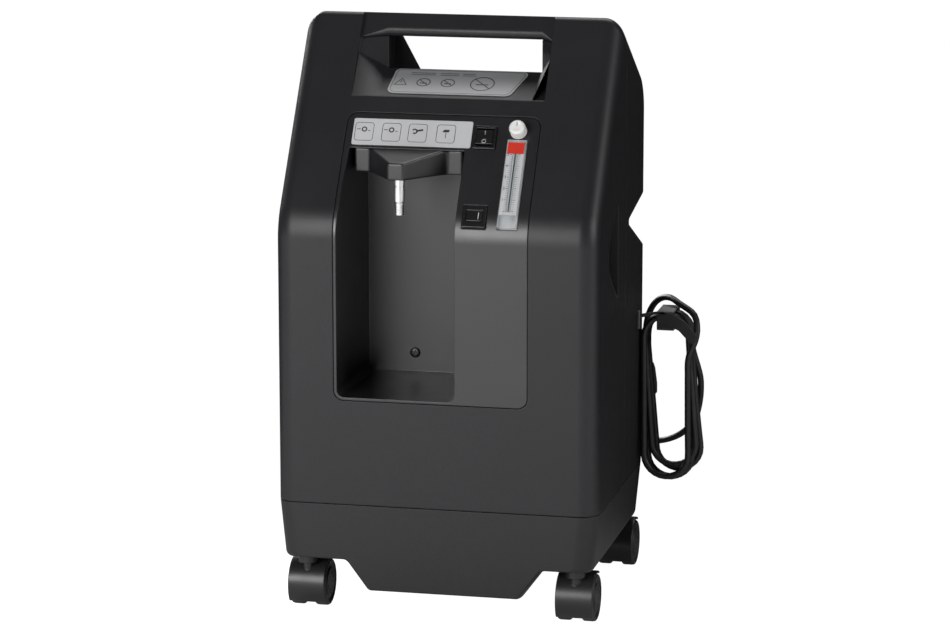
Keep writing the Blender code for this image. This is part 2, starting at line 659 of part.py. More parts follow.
def build_overlays():
    """The indicator strip on the panel and the plate on the ledge under the handle."""
    sink = 0.0005 - GAP
    centre_z = sum(OVERLAY_Z) / 2
    height = (OVERLAY_Z[1] - OVERLAY_Z[0]) / math.cos(LEAN)
    strip = rounded_box_outline(OVERLAY_X[1] - OVERLAY_X[0], height, 0.002, 2)
    place = slope_place(sum(OVERLAY_X) / 2, centre_z, sink)
    prism("indicator_strip", strip, "Y", -0.0008, 0.0, "overlay_grey", place)

    ledge_front = Vector((slope_y(LEDGE_FRONT_Z), LEDGE_FRONT_Z))
    run = Vector(LEDGE_REAR) - ledge_front
    tilt = math.atan2(run.y, run.x)
    middle = ledge_front + run * 0.53
    plate = round_outline(
        [(-0.070, -0.023), (0.062, -0.023), (0.076, 0.023), (-0.068, 0.023)], [0.008, 0.008, 0.006, 0.006], [3] * 4
    )
    turn = Matrix.Translation((PANEL_CENTRE_X + 0.003, middle.x, middle.y)) @ Matrix.Rotation(tilt, 4, "X")
    prism("handle_plate", plate, "Z", GAP, GAP + 0.0008, "label_grey", turn)


def build_switches():
    """The power rocker and the reset button with the frames that they move in."""
    place = slope_place(SWITCH_X, SWITCH_Z)
    bezel = box("switch_bezel", (-SWITCH_SIZE[0] / 2, -0.0015, -SWITCH_SIZE[1] / 2),
                (SWITCH_SIZE[0] / 2, 0.012, SWITCH_SIZE[1] / 2), "switch_black", place)
    well = (0.0185, 0.0205)
    boolean(bezel, box("switch_well", (-well[0] / 2, -0.01, -well[1] / 2), (well[0] / 2, 0.009, well[1] / 2),
                       None, place))
    half = well[1] / 2 - 0.00135
    tip = half * math.tan(ROCKER_SWING / 2)
    face = [(-0.0022 - tip, -half), (-0.0013, 0.0), (-0.0022 + tip, half), (0.0040, half * 0.6), (0.0055, 0.0),
            (0.0040, -half * 0.6)]
    prism("power_rocker", face, "X", -well[0] / 2 + 0.0005, well[0] / 2 - 0.0005, "switch_black", place)

    place = slope_place(BREAKER_X, BREAKER_Z)
    bezel = box("reset_bezel", (-BREAKER_SIZE[0] / 2, -0.0012, -BREAKER_SIZE[1] / 2),
                (BREAKER_SIZE[0] / 2, 0.012, BREAKER_SIZE[1] / 2), "switch_black", place)
    boolean(bezel, box("reset_well", (-0.0085, -0.01, -0.0065), (0.0085, 0.0095, 0.0065), None, place))
    box("reset_button", (-0.0080, -0.0020, -0.0060), (0.0080, 0.0050, 0.0060), "switch_black", place)


def build_flow_meter(knob_place):
    """The clear block with its float, the scale strip on its face and the white adjusting knob."""
    place = slope_place(METER_X, METER_Z)
    width, height = METER_SIZE
    block = box("meter_block", (-width / 2, -0.0030, -height / 2), (width / 2, METER_DEPTH - 0.0030, height / 2),
                "clear_acrylic", place)
    bore_low = -height / 2 + 0.010
    bore = cylinder("meter_bore", (0, 0, 0), (0, 0, 1), METER_BORE, height / 2 + 0.010 - bore_low, segments=16)
    bore.matrix_world = place @ Matrix.Translation((0, 0.0025, (height / 2 + 0.010 + bore_low) / 2))
    boolean(block, bore)
    rest = -height / 2 + 0.010 + FLOAT_RADIUS + 0.0005
    bm = bmesh.new()
    bmesh.ops.create_uvsphere(bm, u_segments=14, v_segments=8, radius=FLOAT_RADIUS)
    ball = add("meter_float", bm, "float_ball", place @ Matrix.Translation((0, 0.0025, rest)))
    smooth(ball)
    strip = box("meter_scale", (-0.0090, -0.0030 - GAP - 0.0004, -0.036), (0.0090, -0.0030 - GAP, 0.046),
                "overlay_grey", place)
    boolean(strip, box("scale_slot", (-0.0030, -0.006, -0.033), (0.0030, 0.001, 0.040), None, place))

    profile = [
        (0.0, -KNOB_LENGTH - 0.0010), (0.0058, -KNOB_LENGTH - 0.0010), (0.0078, -KNOB_LENGTH + 0.0006),
        (KNOB_RADIUS, -0.0060), (KNOB_RADIUS, -0.0012), (0.0030, -0.0012), (0.0030, 0.0090), (0.0, 0.0090),
    ]
    outwards = knob_place.to_3x3() @ Vector((0, -1, 0))
    flipped = [(radius, -height) for radius, height in profile]
    turned("flow_knob", flipped, knob_place.translation, outwards, "knob_white", 24)


# ---- Base pan and casters ------------------------------------------------------------------------------
def base_sections(inset, top_z, end_steps=4):
    """Sections of the pan from front to back, each its outline seen from the front."""
    left, right = BELLY_X
    half_low = HALF_WIDTH - BASE_TAPER
    rows = []
    corners = [
        (-HALF_WIDTH, top_z), (-half_low, BASE_LOW_Z), (left - BELLY_RUN, BASE_LOW_Z), (left, BELLY_Z),
        (right, BELLY_Z), (right + BELLY_RUN, BASE_LOW_Z), (half_low, BASE_LOW_Z), (HALF_WIDTH, top_z),
    ]
    radii = [0.0, 0.006, 0.008, 0.006, 0.006, 0.008, 0.006, 0.0]
    front_stations = [
        (FRONT_Y + inset + FRONT_RADIUS * (1 - math.cos(math.pi / 2 * k / end_steps)),
         FRONT_RADIUS * (1 - math.sin(math.pi / 2 * k / end_steps))) for k in range(end_steps + 1)
    ]
    rear_stations = [
        (REAR_Y - inset - REAR_RADIUS * (1 - math.cos(math.pi / 2 * k / end_steps)),
         REAR_RADIUS * (1 - math.sin(math.pi / 2 * k / end_steps))) for k in range(end_steps, -1, -1)
    ]
    for y, drop in front_stations + rear_stations:
        under = 0.004 * min(drop / FRONT_RADIUS, 1.0)
        side, floor = -inset - drop, -inset - under
        distances = [side, floor, floor, floor, floor, floor, side, 0.004 if inset else 0.0]
        moved = offset_outline(corners, distances)
        rows.append([(x, y, z) for x, z in round_outline(moved, [max(r - inset * 0.4, 0.001) if r else 0.0
                                                                 for r in radii], [2 if r else 0 for r in radii])])
    return rows


def build_base():
    """The pan that closes the cabinet at the bottom and carries the compressor and the casters."""
    top = BASE_SEAM_Z - SEAM_GAP / 2
    pan = loft("base_pan", base_sections(0.0, top), "base_black")
    hollow = loft("pan_hollow", base_sections(WALL, top))
    boolean(pan, hollow)
    for x in (-CASTER_X, CASTER_X):
        for y in CASTER_Y:
            label = f"{'left' if x < 0 else 'right'}_{'front' if y < 0 else 'rear'}"
            boss = cylinder(f"caster_boss_{label}", (x, y, BASE_LOW_Z + 0.013), (0, 0, 1), 0.011, 0.022,
                            segments=20)
            boolean(pan, boss, "UNION")
            hole = cylinder(f"stem_hole_{label}", (x, y, BASE_LOW_Z), (0, 0, 1), STEM_RADIUS + GAP, 0.032,
                            segments=20)
            boolean(pan, hole)
    smooth(pan)


def build_caster(x, y, label):
    """A twin-wheel caster: hood with its stem, axle and two wheels, trailing towards the back."""
    axle_y = y + CASTER_TRAIL
    centre = (x, axle_y, WHEEL_RADIUS)
    web = CASTER_WIDTH - 2 * WHEEL_WIDTH - 2 * 0.0012
    first, last = math.radians(-38), math.radians(118)
    steps = 12
    turns = [first + (last - first) * k / steps for k in range(steps + 1)]
    outer = [(axle_y - HOOD_RADIUS * math.cos(a), WHEEL_RADIUS + HOOD_RADIUS * math.sin(a)) for a in turns]
    inner_radius = WHEEL_RADIUS + 0.0010
    inner = [(axle_y - inner_radius * math.cos(a), WHEEL_RADIUS + inner_radius * math.sin(a)) for a in turns]
    hood = prism(f"caster_hood_{label}", outer + inner[::-1], "X", x - CASTER_WIDTH / 2, x + CASTER_WIDTH / 2,
                 "caster_black")
    middle_radius = (HOOD_RADIUS + inner_radius) / 2
    web_outline = [(axle_y - middle_radius * math.cos(a), WHEEL_RADIUS + middle_radius * math.sin(a)) for a in turns]
    boolean(hood, prism(f"caster_web_{label}", [*web_outline, (axle_y + 0.008, WHEEL_RADIUS - 0.010)], "X",
                        x - web / 2, x + web / 2), "UNION")
    low = WHEEL_RADIUS + inner_radius
    collar_top = BASE_LOW_Z - 0.0008
    stem_low, stem_top = WHEEL_RADIUS + 0.012, BASE_LOW_Z + 0.012
    boolean(hood, cylinder(f"caster_collar_{label}", (x, y, (low + collar_top) / 2), (0, 0, 1), 0.0105,
                           collar_top - low, segments=20), "UNION")
    boolean(hood, cylinder(f"caster_stem_{label}", (x, y, (stem_low + stem_top) / 2), (0, 0, 1), STEM_RADIUS,
                           stem_top - stem_low, segments=20), "UNION")
    boolean(hood, cylinder(f"axle_hole_{label}", centre, (1, 0, 0), AXLE_RADIUS + GAP, 0.06, segments=16))
    smooth(hood)
    half = CASTER_WIDTH / 2
    turned(f"caster_axle_{label}", [(0.0, half - 0.004), (AXLE_RADIUS, half - 0.004), (AXLE_RADIUS, -half + 0.004),
                                    (0.0, -half + 0.004)], centre, (1, 0, 0), "steel_plate", 12)
    for side, which in ((-1, "a"), (1, "b")):
        middle = x + side * (half - WHEEL_WIDTH / 2)
        profile = [
            (0.0, 0.5), (0.60, 0.5), (0.66, 0.38), (0.84, 0.5), (0.95, 0.5), (1.0, 0.36), (1.0, -0.42), (0.96, -0.5),
        ]
        bore = AXLE_RADIUS + GAP
        cap = [(0.0, 0.5 * WHEEL_WIDTH), *[(r * WHEEL_RADIUS, h * WHEEL_WIDTH) for r, h in profile[1:]],
               (bore, -0.5 * WHEEL_WIDTH),
               (bore, 0.5 * WHEEL_WIDTH - 0.0035), (0.0, 0.5 * WHEEL_WIDTH - 0.0035)]
        turned(f"caster_wheel_{label}_{which}", cap, (middle, axle_y, WHEEL_RADIUS), (side, 0, 0), "wheel_black", 20)


def build_casters():
    for x, side in ((-CASTER_X, "left"), (CASTER_X, "right")):
        for y, end in zip(CASTER_Y, ("front", "rear")):
            build_caster(x, y, f"{end}_{side}")


# ---- Rear fittings and cord ----------------------------------------------------------------------------
# Each point's share of the way across from the gland to the far side of the coil, then its y and z.
CORD_POINTS = [
    (0.0, 0.1868, 0.1500), (0.0, 0.1935, 0.1496), (0.0111, 0.2010, 0.1450), (0.0519, 0.2085, 0.136),
    (0.1333, 0.214, 0.128), (0.2815, 0.219, 0.121), (0.4444, 0.216, 0.119), (0.6000, 0.206, 0.123),
    (0.7407, 0.190, 0.133), (0.8593, 0.170, 0.148), (0.9407, 0.151, 0.166), (0.9852, 0.1375, 0.186),
    (1.0, 0.1315, 0.203),
]
CORD_ROUTE = [
    (GLAND_X + share * (COIL_X + COIL_TURN_RADIUS - GLAND_X), y, z) for share, y, z in CORD_POINTS
]
TAIL_TURN_CENTRE = (COIL_X - 0.00525, 0.1235, 0.253)
TAIL_ACROSS = (-0.03325, 0.0365)
PLUG_TOP_Z = 0.222


def tail_route():
    """The free end: over the top of the coil, then straight down behind it to the plug."""
    reach = math.hypot(*TAIL_ACROSS)
    points = []
    for k in range(7):
        turn = math.radians(69 + 18.5 * k)
        across = -math.cos(turn)
        points.append((
            TAIL_TURN_CENTRE[0] + TAIL_ACROSS[0] * across, TAIL_TURN_CENTRE[1] + TAIL_ACROSS[1] * across,
            TAIL_TURN_CENTRE[2] + reach * math.sin(turn),
        ))
    end = (TAIL_TURN_CENTRE[0] + TAIL_ACROSS[0], TAIL_TURN_CENTRE[1] + TAIL_ACROSS[1])
    points.append((*end, PLUG_TOP_Z + 0.020 + GAP))
    return points


def build_cord():
    """The mains lead: gland, the stretch to the coil, the coil, its free end, the plug and the strap."""
    profile = [
        (0.0, 0.0340), (0.0045, 0.0340), (0.0060, 0.0080), (0.0110, 0.0060), (0.0110, 0.0004), (0.0074, 0.0004),
        (0.0074, -0.0080), (0.0, -0.0080),
    ]
    shifted = [(radius, height - 0.0045) for radius, height in profile]
    turned("cord_gland", shifted, (GLAND_X, REAR_Y + 0.0045, GLAND_Z), (0, 1, 0), "rubber_black", 20)
    tube_mesh("power_cord", smooth_route(CORD_ROUTE, 0.010), CORD_DIAMETER / 2, "cord_black")
    tube_mesh("power_cord_end", smooth_route(tail_route(), 0.010), CORD_DIAMETER / 2, "cord_black")

    outer, inner = COIL_TURN_RADIUS + 0.0033, COIL_TURN_RADIUS - 0.0095
    low, high = COIL_Z

    def stadium(radius):
        upper = [(COIL_X + radius * math.cos(a), high + radius * math.sin(a))
                 for a in (math.pi * k / 10 for k in range(11))]
        lower = [(COIL_X + radius * math.cos(a), low + radius * math.sin(a))
                 for a in (math.pi + math.pi * k / 10 for k in range(11))]
        return upper + lower

    half = (COIL_TURNS * CORD_DIAMETER + 0.005) / 2
    coil = prism("cord_coil", stadium(outer), "Y", COIL_Y - half, COIL_Y + half, "cord_black")
    boolean(coil, prism("coil_eye", stadium(inner), "Y", COIL_Y - half - 0.01, COIL_Y + half + 0.01))
    smooth(coil)

    end_x, end_y = TAIL_TURN_CENTRE[0] + TAIL_ACROSS[0], TAIL_TURN_CENTRE[1] + TAIL_ACROSS[1]
    relief = cylinder("plug_relief", (end_x, end_y, PLUG_TOP_Z + 0.0095), (0, 0, 1), 0.0060, 0.021, segments=16,
                      end_radius=0.0045)
    outline = rounded_box_outline(0.026, 0.020, 0.007, 4, (end_x, end_y))
    plug = prism("power_plug", outline, "Z", PLUG_TOP_Z - 0.036, PLUG_TOP_Z, "rubber_black")
    boolean(plug, relief, "UNION")
    for k in (-1, 1):
        blade = box(f"blade_{k}", (end_x + k * 0.00635 - 0.0008, end_y - 0.0032, PLUG_TOP_Z - 0.0535),
                    (end_x + k * 0.00635 + 0.0008, end_y + 0.0032, PLUG_TOP_Z - 0.030))
        boolean(plug, blade, "UNION")
    boolean(plug, cylinder("earth_pin", (end_x, end_y + 0.0060, PLUG_TOP_Z - 0.0430), (0, 0, 1), 0.0024, 0.026,
                           segments=12), "UNION")
    smooth(plug)
    build_strap(outer, inner, half)


def build_strap(outer, inner, half):
    """The hook-and-loop strap: a foot on the flank, a band round the top of the coil and a free tail."""
    wide = 0.009
    clear = 0.0008
    thick = 0.0018
    top = COIL_Z[1] + outer + clear
    under = COIL_Z[1] + math.sqrt(inner ** 2 - wide ** 2) - clear
    x = COIL_X
    front, back = COIL_Y - half - clear, COIL_Y + half + clear
    band = box("cord_strap", (x - wide, front - thick, under - thick), (x + wide, back + thick, top + thick),
               "strap_black")
    boolean(band, box("strap_inside", (x - wide - 0.01, front, under), (x + wide + 0.01, back, top)))
    foot_y = 0.072
    flank = HALF_WIDTH + GAP
    boolean(band, box("strap_arm", (flank, front - thick, top - 0.004), (x, front - 0.0002, top + thick)), "UNION")
    boolean(band, box("strap_foot", (flank, foot_y, top - 0.016), (flank + thick, front - 0.0003, top + thick)),
            "UNION")
    tail = [(x - 0.006, top - 0.010), (x - 0.006, top + thick), (x + 0.004, top + 0.001), (x + 0.022, top - 0.008),
            (x + 0.037, top - 0.026), (x + 0.029, top - 0.033), (x + 0.015, top - 0.018)]
    boolean(band, prism("strap_tail", tail, "Y", front - thick, front - 0.0002), "UNION")


def build_rear():
    """The filter door at the back with its foam, and the blank rating plate."""
    width, height = DOOR_SIZE
    clear = 0.0008
    door = box("filter_door", (-width / 2 + clear, REAR_Y - 0.0030, DOOR_Z + clear),
               (width / 2 - clear, REAR_Y, DOOR_Z + height - clear), "panel_black")
    bars = 8
    pitch = (height - 0.024) / bars
    for i in range(bars):
        z = DOOR_Z + 0.014 + pitch * i
        boolean(door, box(f"door_slot_{i}", (-width / 2 + 0.012, REAR_Y - 0.02, z),
                          (width / 2 - 0.012, REAR_Y + 0.02, z + 0.0045)))
    box("filter_foam", (-width / 2 + 0.004, REAR_Y - 0.0170, DOOR_Z + 0.004),
        (width / 2 - 0.004, REAR_Y - 0.0060, DOOR_Z + height - 0.004), "foam_grey")
    frame = box("filter_tray", (-width / 2 - 0.006, REAR_Y - 0.0220, DOOR_Z - 0.006),
                (width / 2 + 0.006, REAR_Y - WALL - GAP, DOOR_Z + height + 0.006), "plastic_grey")
    boolean(frame, box("tray_well", (-width / 2 + 0.002, REAR_Y - 0.0190, DOOR_Z + 0.002),
                       (width / 2 - 0.002, REAR_Y + 0.01, DOOR_Z + height - 0.002)))
    boolean(frame, box("tray_window", (-width / 2 + 0.014, REAR_Y - 0.03, DOOR_Z + 0.014),
                       (width / 2 - 0.014, REAR_Y, DOOR_Z + height - 0.014)))
    plate = rounded_box_outline(0.080, 0.036, 0.003, 2, (0.0, 0.262))
    prism("rating_plate", plate, "Y", REAR_Y + GAP, REAR_Y + GAP + 0.0004, "overlay_grey")


# ---- Air and oxygen circuit ----------------------------------------------------------------------------
def build_compressor():
    """The twin-head compressor on its plate and four rubber isolators."""
    floor = BELLY_Z + WALL + 0.0004
    plate_z = floor + 0.026
    centre = (0.008, -0.040)
    box("compressor_plate", (centre[0] - 0.072, centre[1] - 0.050, plate_z),
        (centre[0] + 0.072, centre[1] + 0.050, plate_z + 0.003), "steel_plate")
    for i, (sx, sy) in enumerate(((-1, -1), (1, -1), (-1, 1), (1, 1))):
        x, y = centre[0] + sx * 0.060, centre[1] + sy * 0.040
        turned(f"isolator_{i + 1}", [
            (0.0, 0.0130), (0.0090, 0.0130), (0.0100, 0.0100), (0.0070, 0.0), (0.0100, -0.0100), (0.0090, -0.0126),
            (0.0, -0.0126),
        ], (x, y, floor + 0.0126), (0, 0, 1), "rubber_black", 16)
    axis_z = plate_z + 0.003 + GAP + 0.046
    motor = cylinder("compressor_motor", (centre[0], centre[1], axis_z), (1, 0, 0), 0.043, 0.118, "cast_aluminium", 32)
    boolean(motor, box("motor_feet", (centre[0] - 0.045, centre[1] - 0.036, plate_z + 0.003 + GAP),
                       (centre[0] + 0.045, centre[1] + 0.036, axis_z - 0.020)), "UNION")
    for side, label in ((-1, "left"), (1, "right")):
        inner = centre[0] + side * (0.059 + GAP)
        outer = inner + side * 0.028
        low, high = sorted((inner, outer))
        head = box(f"compressor_head_{label}", (low, centre[1] - 0.038, axis_z - 0.040),
                   (high, centre[1] + 0.038, axis_z + 0.052), "cast_aluminium", Matrix(), 0.004)
        mid = (inner + outer) / 2
        boolean(head, box(f"head_fin_{label}", (mid - 0.010, centre[1] - 0.026, axis_z + 0.050),
                          (mid + 0.010, centre[1] + 0.026, axis_z + 0.066)), "UNION")
        for k in range(4):
            z = axis_z + 0.057
            y = centre[1] - 0.0185 + k * 0.0115
            boolean(head, box(f"head_groove_{label}_{k}", (mid - 0.02, y, z), (mid + 0.02, y + 0.003, z + 0.02)))


def build_circuit():
    """Sieve beds, product tank, valve block, filters, fan and control board."""
    for side, label in ((-1, "left"), (1, "right")):
        profile = [
            (0.0, 0.165), (0.020, 0.165), (0.020, 0.158), (0.034, 0.152), (0.037, 0.145), (0.037, -0.145),
            (0.034, -0.152), (0.020, -0.158), (0.020, -0.165), (0.0, -0.165),
        ]
        turned(f"sieve_bed_{label}", profile, (side * 0.042 + 0.008, 0.060, 0.260), (0, 0, 1), "sieve_white", 24)
    box("valve_block", (-0.060, 0.030, 0.4256), (0.076, 0.090, 0.462), "cast_aluminium", Matrix(), 0.003)
    turned("product_tank", [
        (0.0, 0.095), (0.012, 0.095), (0.012, 0.088), (0.026, 0.080), (0.026, -0.080), (0.012, -0.088),
        (0.012, -0.095), (0.0, -0.095),
    ], (0.043 - HALF_WIDTH, 0.045, 0.250), (0, 0, 1), "sieve_white", 20)
    turned("bacteria_filter", [
        (0.003, 0.034), (0.0045, 0.034), (0.0045, 0.016), (0.020, 0.010), (0.020, -0.010), (0.0045, -0.016),
        (0.0045, -0.034), (0.003, -0.034), (0.003, 0.034),
    ], ((HALF_WIDTH + 0.085) / 2, -0.030, 0.300), (0, 0, 1), "sieve_white", 20)
    turned("intake_muffler", [
        (0.0, 0.055), (0.008, 0.055), (0.008, 0.045), (0.024, 0.040), (0.024, -0.040), (0.020, -0.045), (0.0, -0.045),
    ], (HALF_WIDTH - 0.039, 0.045, 0.230), (0, 0, 1), "plastic_grey", 20)
    board = box("circuit_board", (0.030, -0.0290, 0.262), (0.092, -0.0274, 0.452), "board_green")
    boolean(board, box("board_chips", (0.040, -0.0280, 0.290), (0.080, -0.0200, 0.330)), "UNION")
    boolean(board, box("board_relay", (0.044, -0.0280, 0.370), (0.070, -0.0140, 0.395)), "UNION")

    centre = (0.0, REAR_Y - WALL - 0.0006 - 0.019, 0.187)
    half = 0.060
    outline = rounded_box_outline(2 * half, 2 * half, 0.006, 3, (centre[0], centre[2]))
    frame = prism("fan_frame", outline, "Y", centre[1] - 0.019, centre[1] + 0.019, "switch_black")
    boolean(frame, cylinder("fan_duct", centre, (0, 1, 0), 0.056, 0.06, segments=36))
    for k in range(3):
        turn = Matrix.Translation(centre) @ Matrix.Rotation(math.radians(90 + 120 * k), 4, "Y")
        boolean(frame, box(f"fan_strut_{k}", (0.0, -0.0188, -0.003), (0.0575, -0.0150, 0.003), None, turn), "UNION")
    boolean(frame, cylinder("fan_hub_seat", (centre[0], centre[1] - 0.0169, centre[2]), (0, 1, 0), 0.020, 0.0038,
                            segments=24), "UNION")
    rotor = cylinder("fan_rotor", (centre[0], centre[1] + 0.0020, centre[2]), (0, 1, 0), 0.019, 0.0300,
                     "switch_black", 24)
    for k in range(7):
        turn = (
            Matrix.Translation((centre[0], centre[1] + 0.002, centre[2]))
            @ Matrix.Rotation(math.tau * k / 7, 4, "Y")
            @ Matrix.Rotation(math.radians(38), 4, "X")
        )
        blade = box(f"fan_blade_{k}", (0.015, -0.0160, -0.0010), (0.052, 0.0160, 0.0010), None, turn)
        boolean(rotor, blade, "UNION")


def build():
    build_shells()
    build_panel()
    build_base()
    build_casters()
    build_rear()
    build_cord()
    build_compressor()
    build_circuit()


clear_scene()
PARTS = new_collection("oxygen_concentrator")
CUTTERS = new_collection("cutters")
build()
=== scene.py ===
"""Finished look of a home oxygen concentrator: moulded cabinet, control panel with its humidifier nook,
flow meter, casters and the mains lead on its strap. Metres, +Z up, the front faces -Y.
"""

import json
import math

import bmesh
import bpy
from bpy.props import FloatProperty, FloatVectorProperty, IntProperty, PointerProperty
from mathutils import Matrix, Vector

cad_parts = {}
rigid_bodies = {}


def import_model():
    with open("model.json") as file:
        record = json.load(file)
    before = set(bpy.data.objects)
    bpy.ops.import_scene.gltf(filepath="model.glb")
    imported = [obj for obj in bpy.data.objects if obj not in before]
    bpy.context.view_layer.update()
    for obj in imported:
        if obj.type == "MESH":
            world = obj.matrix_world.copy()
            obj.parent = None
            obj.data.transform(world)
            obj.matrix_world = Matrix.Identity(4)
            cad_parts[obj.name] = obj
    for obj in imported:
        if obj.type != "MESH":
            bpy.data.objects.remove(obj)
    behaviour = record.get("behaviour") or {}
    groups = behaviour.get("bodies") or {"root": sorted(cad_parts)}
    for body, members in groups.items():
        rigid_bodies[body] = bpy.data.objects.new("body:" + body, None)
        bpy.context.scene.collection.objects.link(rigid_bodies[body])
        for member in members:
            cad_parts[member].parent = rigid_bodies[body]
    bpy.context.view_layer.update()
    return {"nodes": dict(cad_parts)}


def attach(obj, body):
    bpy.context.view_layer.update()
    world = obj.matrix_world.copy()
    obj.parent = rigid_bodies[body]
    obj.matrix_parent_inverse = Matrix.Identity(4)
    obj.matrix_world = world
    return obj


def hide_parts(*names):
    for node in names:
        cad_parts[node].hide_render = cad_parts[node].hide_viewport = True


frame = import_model()

bl_info = {
    "name": "Oxygen Concentrator",
    "version": (1, 0, 0),
    "blender": (4, 5, 0),
    "location": "3D View > Sidebar > Concentrator",
    "description": "Builds the finished cabinet, controls, casters and mains lead of an oxygen concentrator",
    "category": "Add Mesh",
}

# ---- Sizes of the cabinet, in metres -------------------------------------------------------------------
BODY_WIDTH, BODY_DEPTH, BODY_HEIGHT = 0.342, 0.304, 0.622
BASE_SEAM_Z = 0.122          # where the cabinet shells meet the base pan
SHELL_SEAM_Y = 0.005         # where the front shell meets the rear shell
BREAK_Z = 0.420              # the front is upright below this height and leans back above it
LEAN = math.radians(34.0)    # lean of the upper front, from the vertical
ROOF_FALL = math.radians(30.0)
FRONT_RADIUS, REAR_RADIUS, BREAK_RADIUS = 0.021, 0.048, 0.060
RIDGE_RADIUS, SHOULDER_RADIUS = 0.009, 0.042
WALL, GAP, SEAM_GAP = 0.003, 0.0003, 0.0008
HALF_WIDTH, FRONT_Y, REAR_Y = BODY_WIDTH / 2, -BODY_DEPTH / 2, BODY_DEPTH / 2

PANEL_CENTRE_X = -0.005
POCKET_WIDTH = 0.206
LEDGE_FRONT_Z = 0.541
LEDGE_REAR = (-0.020, 0.565)  # y and z of the ledge's inner end
OPENING_X = (-0.080, 0.085)   # ends of the hand opening
GRIP_UNDER_Z, GRIP_RECESS = 0.598, 0.005
CHANNEL_FALL = math.radians(13.0)
SCOOP_Z, SCOOP_DEPTH, SCOOP_Y = (0.330, 0.430), 0.012, (-0.092, -0.038)
NOTCH_WIDTH, NOTCH_TIP = 0.046, (0.012, 0.4035)
NOTCH_ROOF_RISE, NOTCH_FLOOR_FALL = math.radians(10.0), math.radians(22.5)

PANEL_WIDTH, PANEL_Z, PANEL_CORNER, PANEL_CLEARANCE = 0.206, (0.233, 0.5255), 0.011, 0.0006
NOOK_X, NOOK_Z, NOOK_BACK_Y = (-0.1045, 0.021), (0.2365, 0.4915), -0.037
NOOK_DRAFT, NOOK_FLOOR_RISE = 0.006, 0.006
SWITCH_X, SWITCH_Z, SWITCH_SIZE = 0.0405, 0.505, (0.024, 0.026)
BREAKER_X, BREAKER_Z, BREAKER_SIZE = 0.0405, 0.431, (0.025, 0.025)
METER_X, METER_Z, METER_SIZE, METER_DEPTH = 0.0755, 0.462, (0.0205, 0.099), 0.014
METER_BORE, FLOAT_RADIUS = 0.0038, 0.0032
KNOB_RADIUS, KNOB_LENGTH = 0.0087, 0.013
OVERLAY_X, OVERLAY_Z = (-0.100, 0.0265), (0.4945, 0.5195)
ICON_X = (-0.088, -0.059, -0.031, -0.001)
OUTLET_X, OUTLET_Y, OUTLET_LOW_Z = -0.0415, -0.131, 0.4655
NOSE_REACH, NOSE_FALL, NOSE_FALL_Y, NOSE_HALF = 0.017, 0.179, -0.105, 0.008
WING_WIDTH, SHOULDER_Y = 0.017, -0.099       # flat ends of the outlet bracket
NOOK_SCREW = (-0.048, 0.263)

BASE_LOW_Z, BELLY_Z, BELLY_X = 0.060, 0.028, (-0.073, 0.089)
BELLY_RUN, BASE_TAPER = 0.024, 0.006
CASTER_X, CASTER_Y = 0.144, (-0.124, 0.106)
WHEEL_RADIUS, WHEEL_WIDTH, CASTER_WIDTH, CASTER_TRAIL = 0.025, 0.0135, 0.040, 0.017
AXLE_RADIUS, HOOD_RADIUS, STEM_RADIUS = 0.003, 0.0285, 0.0055

DOOR_SIZE, DOOR_Z = (0.120, 0.096), 0.300
VENT_SLOTS, VENT_WIDTH, VENT_HEIGHT, VENT_PITCH, VENT_Z = 7, 0.110, 0.006, 0.012, 0.148
GLAND_X, GLAND_Z = 0.098, 0.150
COIL_X, COIL_Y, COIL_LOW_Z, COIL_HIGH_Z, COIL_FOLD_RADIUS = 0.2005, 0.105, 0.128, 0.264, 0.0245
COIL_FAN = (0.0, 0.0, 0.0120, 0.0040, 0.0090, 0.0015)    # how far each turn's low end leans outwards
COIL_RAISE = (0.0, 0.0, 0.012, 0.004, 0.019, 0.007)      # how far each turn's low end hangs above the lowest
COIL_BACK, COIL_SPAN = 0.0166, 0.0350    # the first turn behind the middle, and the last before the first
STRAP_DEPTH = 0.040          # front to back inside the strap
CORD_BLACK = (0.018, 0.018, 0.019)
PLUG_TOP_Z = 0.222
TAIL_TURN_CENTRE, TAIL_ACROSS = (0.19925, 0.1235, 0.253), (-0.03325, 0.0365)
CORD_ROUTE = [
    (0.098, 0.1868, 0.1500), (0.098, 0.1935, 0.1496), (0.0995, 0.2010, 0.1450), (0.105, 0.2085, 0.136),
    (0.116, 0.214, 0.128), (0.136, 0.219, 0.121), (0.158, 0.216, 0.119), (0.179, 0.206, 0.123),
    (0.198, 0.190, 0.133), (0.214, 0.170, 0.148), (0.225, 0.151, 0.166), (0.231, 0.1375, 0.186),
    (0.233, 0.1315, 0.203),
]

# The leaning front and the roof meet a little above the top of the rounded ridge.
RIDGE_DOWN = (Vector((-math.sin(LEAN), -math.cos(LEAN))), Vector((math.cos(ROOF_FALL), -math.sin(ROOF_FALL))))
RIDGE_HALF_ANGLE = RIDGE_DOWN[0].angle(RIDGE_DOWN[1]) / 2
RIDGE_CENTRE = (RIDGE_DOWN[0] + RIDGE_DOWN[1]).normalized() * RIDGE_RADIUS / math.sin(RIDGE_HALF_ANGLE)
RIDGE_Z = BODY_HEIGHT - RIDGE_RADIUS - RIDGE_CENTRE.y
RIDGE_Y = FRONT_Y + (RIDGE_Z - BREAK_Z) * math.tan(LEAN)


# ---- What a user would change --------------------------------------------------------------------------
def colour_property(name, description, default):
    return FloatVectorProperty(
        name=name, description=description, default=default, subtype="COLOR", size=3, min=0.0, max=1.0
    )


